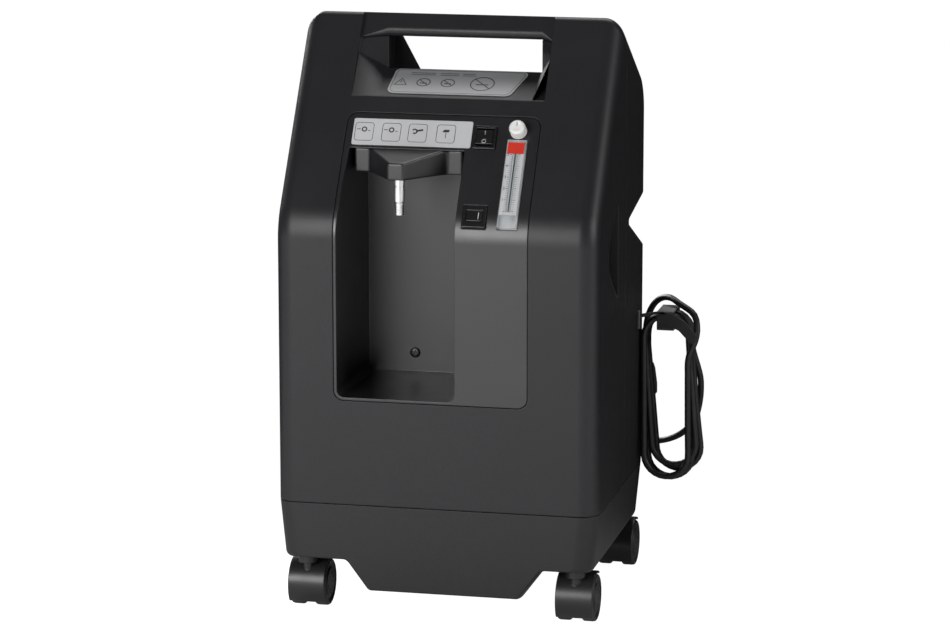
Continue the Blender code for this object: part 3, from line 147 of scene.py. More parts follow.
class ConcentratorFinish(bpy.types.PropertyGroup):
    """Colours and surface texture of the mouldings."""

    shell: colour_property("Shells", "Moulded cabinet shells", (0.0150, 0.0152, 0.0168))
    panel: colour_property("Panel", "Control panel and nook", (0.0120, 0.0121, 0.0135))
    base: colour_property("Base", "Base pan", (0.0165, 0.0167, 0.0180))
    overlay: colour_property("Overlays", "Printed strip and scale", (0.54, 0.545, 0.555))
    plate: colour_property("Ledge plate", "Plate under the handle", (0.30, 0.305, 0.31))
    knob: colour_property("Knob", "Flow control knob", (0.82, 0.82, 0.80))
    zone: colour_property("Zone", "Top zone of the flow scale", (0.62, 0.035, 0.02))
    grain: FloatProperty(
        name="Grain", description="Size of the moulded texture", default=0.0011, min=0.0003, max=0.004,
        unit="LENGTH"
    )
    edge: FloatProperty(
        name="Edge softness", description="Radius of a moulded edge", default=0.0013, min=0.0, max=0.0025,
        unit="LENGTH"
    )


class ConcentratorDetail(bpy.types.PropertyGroup):
    """Counts and sizes of the small repeated details."""

    arc_steps: IntProperty(name="Arc steps", description="Faces round a cabinet edge", default=12, min=4,
                           max=24)
    ticks: IntProperty(name="Ticks", description="Marks on the flow scale", default=26, min=6, max=60)
    knob_ribs: IntProperty(name="Knob ribs", description="Ribs round the knob", default=24, min=8, max=48)
    wheel_ribs: IntProperty(name="Wheel ribs", description="Ribs on a wheel's cap", default=10, min=3, max=24)
    vent_bars: IntProperty(name="Vent bars", description="Upright bars in the rear vents", default=11,
                           min=3, max=30)
    cord_diameter: FloatProperty(name="Lead", description="Thickness of the mains lead", default=0.007,
                                 min=0.005, max=0.009, unit="LENGTH")
    coil_turns: IntProperty(name="Turns", description="Turns in the hung coil", default=5, min=2, max=5)


class ConcentratorStage(bpy.types.PropertyGroup):
    """Floor, light and camera."""

    floor: colour_property("Floor", "Floor and backdrop", (0.93, 0.93, 0.935))
    lens: FloatProperty(name="Lens", description="Focal length", default=136.2, min=20.0, max=300.0,
                        unit="CAMERA")
    key: FloatProperty(name="Key light", description="Power of the large soft light", default=80.0, min=0.0,
                       unit="POWER")
    world: FloatProperty(name="Surround", description="Strength of the surrounding light", default=0.05,
                         min=0.0)


FLOOR_GLOW = 0.38            # brightness of the floor ahead of the cabinet, to all but the camera


# ---- Shader nodes --------------------------------------------------------------------------------------
class Wire:
    """A node's output that takes part in sums, so that shader maths reads as maths."""

    def __init__(self, finish, socket):
        self.finish = finish
        self.socket = socket

    def sum(self, operation, first, second):
        return self.finish.node("ShaderNodeMath", {"operation": operation}, {0: first, 1: second})

    def __add__(self, other):
        return self.sum("ADD", self, other)

    def __radd__(self, other):
        return self.sum("ADD", other, self)

    def __sub__(self, other):
        return self.sum("SUBTRACT", self, other)

    def __rsub__(self, other):
        return self.sum("SUBTRACT", other, self)

    def __mul__(self, other):
        return self.sum("MULTIPLY", self, other)

    def __rmul__(self, other):
        return self.sum("MULTIPLY", other, self)

    def most(self, other):
        return self.sum("MAXIMUM", self, other)


class Finish:
    """A material under construction. One method makes every node."""

    def __init__(self, name):
        self.material = bpy.data.materials.new(name)
        self.material.use_nodes = True
        self.tree = self.material.node_tree
        self.tree.nodes.clear()

    def node(self, kind, settings=None, sockets=None, output=0):
        made = self.tree.nodes.new(kind)
        for key, value in (settings or {}).items():
            setattr(made, key, value)
        for key, value in (sockets or {}).items():
            if isinstance(value, Wire):
                self.tree.links.new(value.socket, made.inputs[key])
            else:
                made.inputs[key].default_value = value
        return Wire(self, made.outputs[output]) if made.outputs else None

    def place(self, scale=(1.0, 1.0, 1.0), turn=(0.0, 0.0, 0.0)):
        """Object coordinates, stretched and turned."""
        where = self.node("ShaderNodeTexCoord", output="Object")
        return self.node("ShaderNodeMapping", None, {"Vector": where, "Scale": scale, "Rotation": turn})

    def noise(self, where, size, detail=3.0):
        return self.node("ShaderNodeTexNoise", None, {"Vector": where, "Scale": 1 / size, "Detail": detail})

    def shade(self, share, first, second):
        """A colour between two colours."""
        return self.node("ShaderNodeMix", {"data_type": "RGBA"},
                         {0: share, 6: (*first, 1.0), 7: (*second, 1.0)}, 2)

    def surface(self, sockets):
        shader = self.node("ShaderNodeBsdfPrincipled", None, sockets)
        self.node("ShaderNodeOutputMaterial", None, {"Surface": shader})
        return self.material


def lighter(colour, share):
    return tuple(min(channel * share, 1.0) for channel in colour)


def once(maker):
    """Keeps one material for each name."""
    def find(name, *given, **named):
        return bpy.data.materials.get(name) or maker(name, *given, **named)
    return find


@once
def moulded(name, colour, roughness=0.42, depth=0.00012, gloss=0.35):
    """Moulded plastic: fine eroded grain, faint clouds of colour and gloss, softened edges."""
    wanted = bpy.context.scene.concentrator_finish
    finish = Finish(name)
    where = finish.place()
    cloud = finish.noise(where, 0.11)
    smudge = finish.noise(where, 0.018, 5.0)
    pebble = finish.node("ShaderNodeTexVoronoi", {"feature": "SMOOTH_F1"},
                         {"Vector": where, "Scale": 1 / wanted.grain, "Smoothness": 1.0})
    speck = finish.noise(where, wanted.grain * 0.6, 2.0)
    edge = finish.node("ShaderNodeBevel", {"samples": 6}, {"Radius": wanted.edge})
    bump = finish.node("ShaderNodeBump", None, {"Height": pebble * 0.7 + speck * 0.5, "Distance": depth,
                                                "Strength": 0.8, "Normal": edge})
    return finish.surface({"Base Color": finish.shade(cloud * 0.7 + speck * 0.3, lighter(colour, 0.82),
                                                      lighter(colour, 1.22)),
                           "Roughness": cloud * 0.10 + smudge * 0.10 + (roughness - 0.10),
                           "Specular IOR Level": gloss, "Normal": bump})


@once
def printed(name, colour, roughness=0.38):
    """Printed polyester: smooth with a trace of screen mesh and faint colour drift."""
    finish = Finish(name)
    where = finish.place()
    drift = finish.noise(where, 0.04)
    mesh = finish.noise(where, 0.0006, 2.0)
    bump = finish.node("ShaderNodeBump", None, {"Height": mesh, "Distance": 0.00004, "Strength": 0.5})
    return finish.surface({"Base Color": finish.shade(drift, lighter(colour, 0.92), lighter(colour, 1.06)),
                           "Roughness": drift * 0.12 + (roughness - 0.06), "Coat Weight": 0.25,
                           "Coat Roughness": 0.2, "Normal": bump})


@once
def metal(name, colour, roughness=0.24, line=0.0008, depth=0.00003, turn=(0.0, 0.0, 0.0)):
    """Plated or machined metal with tool lines across its length."""
    finish = Finish(name)
    where = finish.place(turn=turn)
    lines = finish.node("ShaderNodeTexWave", {"bands_direction": "Z"},
                        {"Vector": where, "Scale": 0.314 / line, "Distortion": 1.4, "Detail": 2.0,
                         "Detail Scale": 3.0}, 1)
    tarnish = finish.noise(where, 0.012, 4.0)
    edge = finish.node("ShaderNodeBevel", {"samples": 4}, {"Radius": 0.0003})
    bump = finish.node("ShaderNodeBump", None,
                       {"Height": lines + tarnish * 0.4, "Distance": depth, "Strength": 0.7, "Normal": edge})
    return finish.surface({
        "Base Color": finish.shade(tarnish, lighter(colour, 0.80), lighter(colour, 1.08)),
        "Roughness": tarnish * 0.16 + lines * 0.05 + (roughness - 0.08), "Metallic": 1.0, "Normal": bump,
    })


@once
def cast(name, colour, roughness=0.46):
    """Sand-cast metal: coarse skin with darker pores."""
    finish = Finish(name)
    where = finish.place()
    skin = finish.noise(where, 0.0016, 4.0)
    pores = finish.node("ShaderNodeTexVoronoi", None, {"Vector": where, "Scale": 420.0})
    edge = finish.node("ShaderNodeBevel", {"samples": 4}, {"Radius": 0.001})
    bump = finish.node("ShaderNodeBump", None,
                       {"Height": skin + pores * 0.5, "Distance": 0.0003, "Strength": 0.7, "Normal": edge})
    return finish.surface({
        "Base Color": finish.shade(skin, lighter(colour, 0.72), lighter(colour, 1.1)),
        "Roughness": skin * 0.2 + (roughness - 0.10), "Metallic": 0.9, "Normal": bump,
    })


@once
def rubber(name, colour, roughness=0.58, scuff=1.9):
    """Moulded rubber or a soft jacket: satin, with dusty patches and a fine skin."""
    finish = Finish(name)
    where = finish.place()
    dust = finish.noise(where, 0.014, 6.0)
    skin = finish.noise(where, 0.0007, 3.0)
    edge = finish.node("ShaderNodeBevel", {"samples": 4}, {"Radius": 0.0006})
    bump = finish.node("ShaderNodeBump", None,
                       {"Height": skin + dust * 0.3, "Distance": 0.00008, "Strength": 0.7, "Normal": edge})
    return finish.surface({
        "Base Color": finish.shade(dust * dust, lighter(colour, 0.85), lighter(colour, scuff)),
        "Roughness": dust * 0.16 + (roughness - 0.08), "Specular IOR Level": 0.4, "Normal": bump,
    })


@once
def woven(name, colour):
    """Narrow woven webbing: warp and weft at a pitch of under a millimetre."""
    finish = Finish(name)
    where = finish.place()
    warp = finish.node("ShaderNodeTexWave", {"bands_direction": "X"}, {"Vector": where, "Scale": 380.0}, 1)
    weft = finish.node("ShaderNodeTexWave", {"bands_direction": "Z"}, {"Vector": where, "Scale": 380.0}, 1)
    fuzz = finish.noise(where, 0.0009, 5.0)
    bump = finish.node("ShaderNodeBump", None, {"Height": warp * weft + fuzz * 0.6, "Distance": 0.0004,
                                                "Strength": 0.9})
    cloth = finish.shade(fuzz * 0.6 + warp * weft * 0.4, lighter(colour, 0.6), lighter(colour, 1.9))
    return finish.surface({"Base Color": cloth, "Roughness": fuzz * 0.1 + 0.82, "Sheen Weight": 0.25,
                           "Sheen Roughness": 0.5, "Normal": bump})


@once
def foam(name, colour):
    """Open-cell foam."""
    finish = Finish(name)
    where = finish.place()
    cells = finish.node("ShaderNodeTexVoronoi", {"feature": "DISTANCE_TO_EDGE"},
                        {"Vector": where, "Scale": 620.0})
    fleck = finish.noise(where, 0.003, 4.0)
    bump = finish.node("ShaderNodeBump", None, {"Height": cells, "Distance": 0.0012, "Strength": 1.0})
    return finish.surface({
        "Base Color": finish.shade(cells * 2.5 + fleck * 0.3, lighter(colour, 1.5), lighter(colour, 0.5)),
        "Roughness": fleck * 0.06 + 0.9, "Normal": bump,
    })


@once
def acrylic(name, colour):
    """Clear moulded acrylic with faint flow lines."""
    finish = Finish(name)
    where = finish.place()
    flow = finish.noise(where, 0.009, 2.0)
    edge = finish.node("ShaderNodeBevel", {"samples": 4}, {"Radius": 0.0006})
    bump = finish.node("ShaderNodeBump", None, {"Height": flow, "Distance": 0.0001, "Strength": 0.3,
                                                "Normal": edge})
    return finish.surface({
        "Base Color": finish.shade(flow, lighter(colour, 0.96), colour), "Roughness": flow * 0.05 + 0.03,
        "Alpha": flow * 0.06 + 0.30, "IOR": 1.49, "Coat Weight": 0.5, "Normal": bump,
    })


# ---- Mesh helpers --------------------------------------------------------------------------------------
def workshop(name):
    """A collection by name, made when first asked for."""
    found = bpy.data.collections.get(name)
    if not found:
        found = bpy.data.collections.new(name)
        bpy.context.scene.collection.children.link(found)
    return found


def drop(item):
    bpy.data.objects.remove(item, do_unlink=True)


def add(name, bm, place=Matrix()):
    """A closed mesh with its place in its points."""
    bmesh.ops.recalc_face_normals(bm, faces=bm.faces[:])
    mesh = bpy.data.meshes.new(name)
    bm.to_mesh(mesh)
    bm.free()
    mesh.transform(place)
    item = bpy.data.objects.new(name, mesh)
    workshop("making").objects.link(item)
    return item


def boolean(target, other, operation="DIFFERENCE"):
    step = target.modifiers.new(f"{operation} {other.name}", "BOOLEAN")
    step.operation = operation
    step.object = other
    step.solver = "EXACT"


def bevel(item, width, segments=3, angle=40.0):
    step = item.modifiers.new("rounded edges", "BEVEL")
    step.width = width
    step.segments = segments
    step.limit_method = "ANGLE"
    step.angle_limit = math.radians(angle)
    step.harden_normals = False


def evaluated(item):
    """The item's mesh with its modifiers applied."""
    graph = bpy.context.evaluated_depsgraph_get()
    return bpy.data.meshes.new_from_object(item.evaluated_get(graph))


def settle(item, name, finish, body, nodes=(), angle=32.0, extra=()):
    """Turns a worked item, with any extra meshes, into a finished piece that rides on a body."""
    mesh = evaluated(item)
    for step in item.modifiers:
        if step.type == "BOOLEAN" and step.object:
            drop(step.object)
    drop(item)
    bm = bmesh.new()
    bm.from_mesh(mesh)
    for other in extra:
        bm.from_mesh(other)
    bmesh.ops.remove_doubles(bm, verts=bm.verts, dist=0.000002)
    mesh = bpy.data.meshes.new(name)
    bm.to_mesh(mesh)
    bm.free()
    mesh.materials.clear()
    mesh.materials.append(finish)
    mesh.shade_smooth()
    mesh.set_sharp_from_angle(angle=math.radians(angle))
    draft = bpy.data.objects.new(f"{name}_draft", mesh)
    workshop("making").objects.link(draft)
    even = draft.modifiers.new("even shading", "WEIGHTED_NORMAL")
    even.keep_sharp = True
    done = evaluated(draft)
    done.name = name
    drop(draft)
    piece = bpy.data.objects.new(name, done)
    workshop("finished").objects.link(piece)
    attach(piece, body)
    if nodes:
        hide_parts(*nodes)
    return piece


def box(name, low, high, place=Matrix(), rounding=0.0, segments=3):
    bm = bmesh.new()
    bmesh.ops.create_cube(bm, size=1.0)
    bmesh.ops.scale(bm, vec=[b - a for a, b in zip(low, high)], verts=bm.verts)
    bmesh.ops.translate(bm, vec=[(a + b) / 2 for a, b in zip(low, high)], verts=bm.verts)
    if rounding:
        bmesh.ops.bevel(bm, geom=bm.edges[:], offset=rounding, segments=segments, profile=0.5, affect="EDGES")
    return add(name, bm, place)


def along(axis):
    """The turn that brings +Z onto an axis."""
    return Vector((0, 0, 1)).rotation_difference(Vector(axis)).to_matrix().to_4x4()


def lathe(name, profile, centre, axis, steps=48):
    """A turned piece from radius and height pairs; its ends close on the axis or on each other."""
    bm = bmesh.new()
    rings = []
    for radius, height in profile:
        if radius < 1e-7:
            rings.append([bm.verts.new((0, 0, height))])
            continue
        rings.append([bm.verts.new((radius * math.cos(math.tau * k / steps),
                                    radius * math.sin(math.tau * k / steps), height))
                      for k in range(steps)])
    for first, second in zip(rings, rings[1:]):
        for k in range(steps):
            j = (k + 1) % steps
            corners = [first[k % len(first)], first[j % len(first)], second[j % len(second)],
                       second[k % len(second)]]
            corners = list(dict.fromkeys(corners))
            if len(corners) > 2:
                bm.faces.new(corners)
    bmesh.ops.remove_doubles(bm, verts=bm.verts, dist=0.0000005)
    return add(name, bm, Matrix.Translation(centre) @ along(axis))


def cylinder(name, centre, axis, radius, length, steps=48, end_radius=None):
    top = radius if end_radius is None else end_radius
    return lathe(name, [(0, -length / 2), (radius, -length / 2), (top, length / 2), (0, length / 2)],
                 centre, axis, steps)


def offset_outline(corners, distances):
    """Moves each side of an outline outwards by its own distance; side i starts at corner i."""
    count = len(corners)
    area = sum(
        corners[i][0] * corners[(i + 1) % count][1] - corners[(i + 1) % count][0] * corners[i][1]
        for i in range(count)
    )
    turn = 1.0 if area > 0 else -1.0
    lines = []
    for i in range(count):
        start, end = Vector(corners[i]), Vector(corners[(i + 1) % count])
        run = (end - start).normalized()
        lines.append((start + Vector((run.y, -run.x)) * turn * distances[i], run))
    moved = []
    for i in range(count):
        (first, first_run), (second, second_run) = lines[i - 1], lines[i]
        share = (second - first).cross(second_run) / first_run.cross(second_run)
        moved.append(first + first_run * share)
    return moved


def round_outline(corners, radii, steps):
    """Replaces each corner of an outline by an arc of its radius."""
    count = len(corners)
    points = []
    for i, corner in enumerate(corners):
        if radii[i] <= 0:
            points.append(Vector(corner))
            continue
        before = (Vector(corners[i - 1]) - Vector(corner)).normalized()
        after = (Vector(corners[(i + 1) % count]) - Vector(corner)).normalized()
        half = before.angle(after) / 2
        centre = Vector(corner) + (before + after).normalized() * radii[i] / math.sin(half)
        first = Vector(corner) + before * radii[i] / math.tan(half) - centre
        sweep = first.angle_signed(Vector(corner) + after * radii[i] / math.tan(half) - centre)
        for step in range(steps[i] + 1):
            turn = -sweep * step / steps[i]
            cosine, sine = math.cos(turn), math.sin(turn)
            points.append(centre + Vector((first.x * cosine - first.y * sine,
                                           first.x * sine + first.y * cosine)))
    return points


def rounded_box_outline(width, height, radius, steps=8, centre=(0.0, 0.0)):
    x, y = width / 2, height / 2
    corners = [(-x, -y), (x, -y), (x, y), (-x, y)]
    moved = [(a + centre[0], b + centre[1]) for a, b in corners]
    return round_outline(moved, [radius] * 4, [steps] * 4)


def loft(name, sections, place=Matrix()):
    """A closed body through sections that have the same number of points."""
    bm = bmesh.new()
    rows = [[bm.verts.new(point) for point in section] for section in sections]
    count = len(rows[0])
    for first, second in zip(rows, rows[1:]):
        for i in range(count):
            j = (i + 1) % count
            bm.faces.new((first[i], first[j], second[j], second[i]))
    bm.faces.new(rows[0])
    bm.faces.new(reversed(rows[-1]))
    return add(name, bm, place)


def prism(name, outline, axis, low, high, place=Matrix()):
    """An outline pushed along X, Y or Z; its two numbers are the other two axes in order."""
    spread = {
        "X": lambda u, v, w: (w, u, v),
        "Y": lambda u, v, w: (u, w, v),
        "Z": lambda u, v, w: (u, v, w),
    }[axis]
    return loft(name, [[spread(u, v, w) for u, v in outline] for w in (low, high)], place)


def stroke(bm, points, width, low, high, closed=True):
    """A drawn line of even width, as a thin solid in the X-Z plane between two depths."""
    path = [Vector(point) for point in points]
    count = len(path)
    sides = []
    for i, point in enumerate(path):
        before = path[i - 1] if closed or i else point * 2 - path[1]
        after = path[(i + 1) % count] if closed or i < count - 1 else point * 2 - path[i - 1]
        first, second = (point - before).normalized(), (after - point).normalized()
        across = Vector((-first.y, first.x)) + Vector((-second.y, second.x))
        across *= width / max(across.length_squared, 0.5)
        sides.append((point + across, point - across))
    corners = [[bm.verts.new((p.x, depth, p.y)) for p, depth in ((a, low), (b, low), (b, high), (a, high))]
               for a, b in sides]
    for i in range(count if closed else count - 1):
        first, second = corners[i], corners[(i + 1) % count]
        for k in range(4):
            j = (k + 1) % 4
            bm.faces.new((first[k], first[j], second[j], second[k]))
    if not closed:
        bm.faces.new(corners[0])
        bm.faces.new(reversed(corners[-1]))


def patch(bm, outline, low, high):
    """A filled shape as a thin solid in the X-Z plane between two depths."""
    rows = [[bm.verts.new((x, depth, z)) for x, z in outline] for depth in (low, high)]
    count = len(outline)
    for i in range(count):
        j = (i + 1) % count
        bm.faces.new((rows[0][i], rows[0][j], rows[1][j], rows[1][i]))
    bm.faces.new(rows[0])
    bm.faces.new(reversed(rows[1]))


def circle(radius, centre=(0.0, 0.0), steps=28, first=0.0, sweep=math.tau):
    whole = abs(sweep - math.tau) < 1e-6
    count = steps if whole else steps + 1
    return [(centre[0] + radius * math.cos(first + sweep * k / steps),
             centre[1] + radius * math.sin(first + sweep * k / steps)) for k in range(count)]


def row_of_copies():
    """The node tree that repeats a pattern along a step, each copy turned further than the last."""
    name = "row of copies"
    tree = bpy.data.node_groups.get(name)
    if tree:
        return tree
    tree = bpy.data.node_groups.new(name, "GeometryNodeTree")
    for label, kind in (
        ("Pattern", "NodeSocketObject"), ("Count", "NodeSocketInt"), ("Step", "NodeSocketVector"),
        ("Turn", "NodeSocketVector"), ("Material", "NodeSocketMaterial"),
    ):
        tree.interface.new_socket(label, in_out="INPUT", socket_type=kind)
    tree.interface.new_socket("Geometry", in_out="OUTPUT", socket_type="NodeSocketGeometry")
    given = tree.nodes.new("NodeGroupInput")
    line = tree.nodes.new("GeometryNodeMeshLine")
    line.mode = "OFFSET"
    index = tree.nodes.new("GeometryNodeInputIndex")
    turn = tree.nodes.new("ShaderNodeVectorMath")
    turn.operation = "SCALE"
    pattern = tree.nodes.new("GeometryNodeObjectInfo")
    copies = tree.nodes.new("GeometryNodeInstanceOnPoints")
    real = tree.nodes.new("GeometryNodeRealizeInstances")
    paint = tree.nodes.new("GeometryNodeSetMaterial")
    result = tree.nodes.new("NodeGroupOutput")
    for start, end in ((given.outputs["Count"], line.inputs["Count"]),
                       (given.outputs["Step"], line.inputs["Offset"]),
                       (given.outputs["Turn"], turn.inputs[0]), (index.outputs[0], turn.inputs["Scale"]),
                       (given.outputs["Pattern"], pattern.inputs["Object"]),
                       (line.outputs["Mesh"], copies.inputs["Points"]),
                       (pattern.outputs["Geometry"], copies.inputs["Instance"]),
                       (turn.outputs[0], copies.inputs["Rotation"]), (copies.outputs[0], real.inputs[0]),
                       (real.outputs[0], paint.inputs["Geometry"]),
                       (given.outputs["Material"], paint.inputs["Material"]),
                       (paint.outputs[0], result.inputs["Geometry"])):
        tree.links.new(start, end)
    return tree


def repeated(pattern, count, step, turn, finish, place=Matrix()):
    """A plain mesh of a pattern's copies; the pattern is used up."""
    holder = bpy.data.objects.new("copies", bpy.data.meshes.new("copies"))
    workshop("making").objects.link(holder)
    tree = row_of_copies()
    rows = holder.modifiers.new("row of copies", "NODES")
    rows.node_group = tree
    given = {"Pattern": pattern, "Count": count, "Step": step, "Turn": turn, "Material": finish}
    for socket in tree.interface.items_tree:
        if socket.in_out == "INPUT":
            rows[socket.identifier] = given[socket.name]
    mesh = evaluated(holder)
    mesh.transform(place)
    drop(holder)
    drop(pattern)
    return mesh


def piece_of(mesh):
    """An item that holds a finished mesh, ready to settle."""
    item = bpy.data.objects.new(mesh.name, mesh)
    workshop("making").objects.link(item)
    return item


def repaint(finish, *nodes):
    """A better finish on modelled nodes whose shape stays."""
    for node in nodes:
        item = frame["nodes"][node]
        if not item.material_slots:
            item.data.materials.append(finish)
        for slot in item.material_slots:
            slot.material = finish


# ---- Cabinet outlines ----------------------------------------------------------------------------------
def roof_z(y):
    return RIDGE_Z - (y - RIDGE_Y) * math.tan(ROOF_FALL)


def slope_y(z):
    """Front surface of the leaning panel at a height."""
    return FRONT_Y + (z - BREAK_Z) * math.tan(LEAN)


def slope_place(x, z, sink=0.0):
    """A frame on the leaning front: X to the right, Z up the slope, -Y out of it."""
    point = Vector((x, slope_y(z) + sink * math.cos(LEAN), z - sink * math.sin(LEAN)))
    return Matrix.Translation(point) @ Matrix.Rotation(-LEAN, 4, "X")


def width_stations(half, radii, steps):
    """Places across the cabinet where its sections are taken."""
    found = set()
    for radius in radii:
        for step in range(steps + 1):
            found.add(round(half - radius + radius * math.sin(math.pi / 2 * step / steps), 6))
    places = sorted(found)
    return [-place for place in reversed(places)] + places


def cabinet_body(name, corners, radii, edges, inset, open_sides, steps):
    """One half of the cabinet, or its hollow, as sections of a side outline across the width."""
    half = HALF_WIDTH - inset
    shrunk = [max(edge - inset, 0.0) for edge in edges]
    used = sorted({round(edge, 6) for edge in shrunk if edge > 0})
    sections = []
    for x in width_stations(half, used, steps):
        distances = []
        for i, edge in enumerate(shrunk):
            if i in open_sides:
                distances.append(0.006 if inset else 0.0)
                continue
            over = abs(x) - (half - edge)
            drop_in = edge - math.sqrt(max(edge ** 2 - over ** 2, 0.0)) if over > 0 else 0.0
            distances.append(-inset - drop_in)
        moved = offset_outline(corners, distances)
        smaller = [max(radius - inset, 0.001) if radius else 0.0 for radius in radii]
        counts = [2 * steps if radius > 0.02 else steps for radius in radii]
        sections.append([(x, y, z) for y, z in round_outline(moved, smaller, counts)])
    return loft(name, sections)


def front_outline():
    seam = SHELL_SEAM_Y - SEAM_GAP / 2
    low = BASE_SEAM_Z + SEAM_GAP / 2
    corners = [(FRONT_Y, low), (seam, low), (seam, roof_z(seam)), (RIDGE_Y, RIDGE_Z), (FRONT_Y, BREAK_Z)]
    radii = [0.0, 0.0, 0.0, RIDGE_RADIUS, BREAK_RADIUS]
    return corners, radii, [0.0, 0.0, FRONT_RADIUS, FRONT_RADIUS, FRONT_RADIUS], {0, 1}


def rear_outline():
    seam = SHELL_SEAM_Y + SEAM_GAP / 2
    low = BASE_SEAM_Z + SEAM_GAP / 2
    corners = [(seam, low), (REAR_Y, low), (REAR_Y, roof_z(REAR_Y)), (seam, roof_z(seam))]
    return corners, [0.0, 0.0, SHOULDER_RADIUS, 0.0], [0.0, REAR_RADIUS, FRONT_RADIUS, 0.0], {0, 3}


def pocket_cutter(name, grow):
    """The hollow in front of and under the carrying handle, with a rounded lip and grip."""
    reach = 0.060
    lip = 0.0055
    ledge_front = Vector((slope_y(LEDGE_FRONT_Z), LEDGE_FRONT_Z))
    run = (Vector(LEDGE_REAR) - ledge_front).normalized()
    down = Vector((-math.sin(LEAN), -math.cos(LEAN)))
    out = Vector((-math.cos(LEAN), math.sin(LEAN)))
    half_turn = down.angle(run) / 2
    middle = ledge_front + (down + run).normalized() * lip / math.sin(half_turn)
    arc = []
    for k in range(7):
        share = 0.14 + 0.86 * k / 6
        towards = out.lerp(Vector((-run.y, run.x)), share).normalized()
        arc.append(tuple(middle + towards * lip))
    recess = GRIP_RECESS / math.cos(LEAN)
    under = (slope_y(GRIP_UNDER_Z) + recess, GRIP_UNDER_Z)
    above = (slope_y(BODY_HEIGHT + 0.03) + recess, BODY_HEIGHT + 0.03)
    rear = LEDGE_REAR[0] + 0.002
    far = tuple(Vector(arc[0]) + out * reach)
    full = [far, *arc, LEDGE_REAR, (rear, LEDGE_REAR[1]), (rear, GRIP_UNDER_Z), under, above,
            (above[0] - reach, above[1])]
    # At its ends the hollow is only as deep as the recess in front of the grip.
    shallow_z = LEDGE_FRONT_Z + 0.040
    shallow = (slope_y(shallow_z) + recess, shallow_z)
    thin = [far, *arc, shallow, (shallow[0] + 0.0012, shallow[1] + 0.002),
            (under[0] - 0.0013, under[1] - 0.002), under, above, (above[0] - reach, above[1])]
    radii = [0.0] * (len(arc) + 4) + [0.0065, 0.0, 0.0]
    counts = [0] * (len(arc) + 4) + [8, 0, 0]
    soft = [0.0] * (len(arc) + 4) + [0.0012, 0.0, 0.0]
    half = POCKET_WIDTH / 2
    rows = []
    for x, outline, side, rounding in ((PANEL_CENTRE_X - half, thin, -1, soft),
                                       (OPENING_X[0], full, -1, radii), (OPENING_X[1], full, 1, radii),
                                       (PANEL_CENTRE_X + half, thin, 1, soft)):
        moved = offset_outline(outline, [grow] * len(outline)) if grow else [Vector(p) for p in outline]
        rows.append([(x + side * grow, y, z) for y, z in round_outline(moved, rounding, counts)])
    return loft(name, rows)


def channel_cutter(name, grow):
    """The hand opening under the grip, which runs out over the roof at the back."""
    y, z = LEDGE_REAR
    start = y - 0.004
    far = REAR_Y + 0.030
    roof_meets = RIDGE_Y + (RIDGE_Z - GRIP_UNDER_Z) / math.tan(ROOF_FALL)
    outline = [
        (start, z + 0.0004), (far, z - (far - start) * math.tan(CHANNEL_FALL)), (far, BODY_HEIGHT + 0.05),
        (roof_meets, BODY_HEIGHT + 0.05), (roof_meets, GRIP_UNDER_Z), (start, GRIP_UNDER_Z),
    ]
    moved = offset_outline(outline, [grow] * len(outline)) if grow else outline
    return prism(name, moved, "X", OPENING_X[0] - grow, OPENING_X[1] + grow)


def notch_cutter(name, side, grow):
    """The wedge at a rear corner that the palm goes into when the cabinet is lifted."""
    y, z = NOTCH_TIP
    far = REAR_Y + 0.040
    outline = [(y, z), (far, z - (far - y) * math.tan(NOTCH_FLOOR_FALL)),
               (far, z + (far - y) * math.tan(NOTCH_ROOF_RISE))]
    moved = offset_outline(outline, [grow] * 3) if grow else [Vector(p) for p in outline]
    rounded = round_outline(moved, [0.004 + grow, 0.0, 0.0], [10, 0, 0])
    inner = HALF_WIDTH - NOTCH_WIDTH - grow
    low, high = sorted((side * inner, side * (HALF_WIDTH + 0.02)))
    return prism(name, rounded, "X", low, high)


def scoop_cutter(name, side, grow):
    """The finger scoop in a flank: part of a large cylinder that ends in a flat wall."""
    chord = SCOOP_Z[1] - SCOOP_Z[0]
    radius = (chord ** 2 / 4 + SCOOP_DEPTH ** 2) / (2 * SCOOP_DEPTH)
    run = SCOOP_Y[1] - SCOOP_Y[0]
    reach = math.asin(chord / 2 / radius) * 1.25
    rows = []
    for share in (-0.35, 1.0):
        y = SCOOP_Y[0] + run * share + (grow if share == 1.0 else 0.0)
        centre_x = HALF_WIDTH + radius - SCOOP_DEPTH * share
        arc = [
            (side * (centre_x - (radius + grow) * math.cos(turn)), y,
             sum(SCOOP_Z) / 2 + (radius + grow) * math.sin(turn))
            for turn in (reach * (k / 16 - 1) for k in range(33))
        ]
        outer = side * (HALF_WIDTH + 0.04)
        rows.append([(outer, y, arc[0][2]), *arc, (outer, y, arc[-1][2])])
    return loft(name, rows)


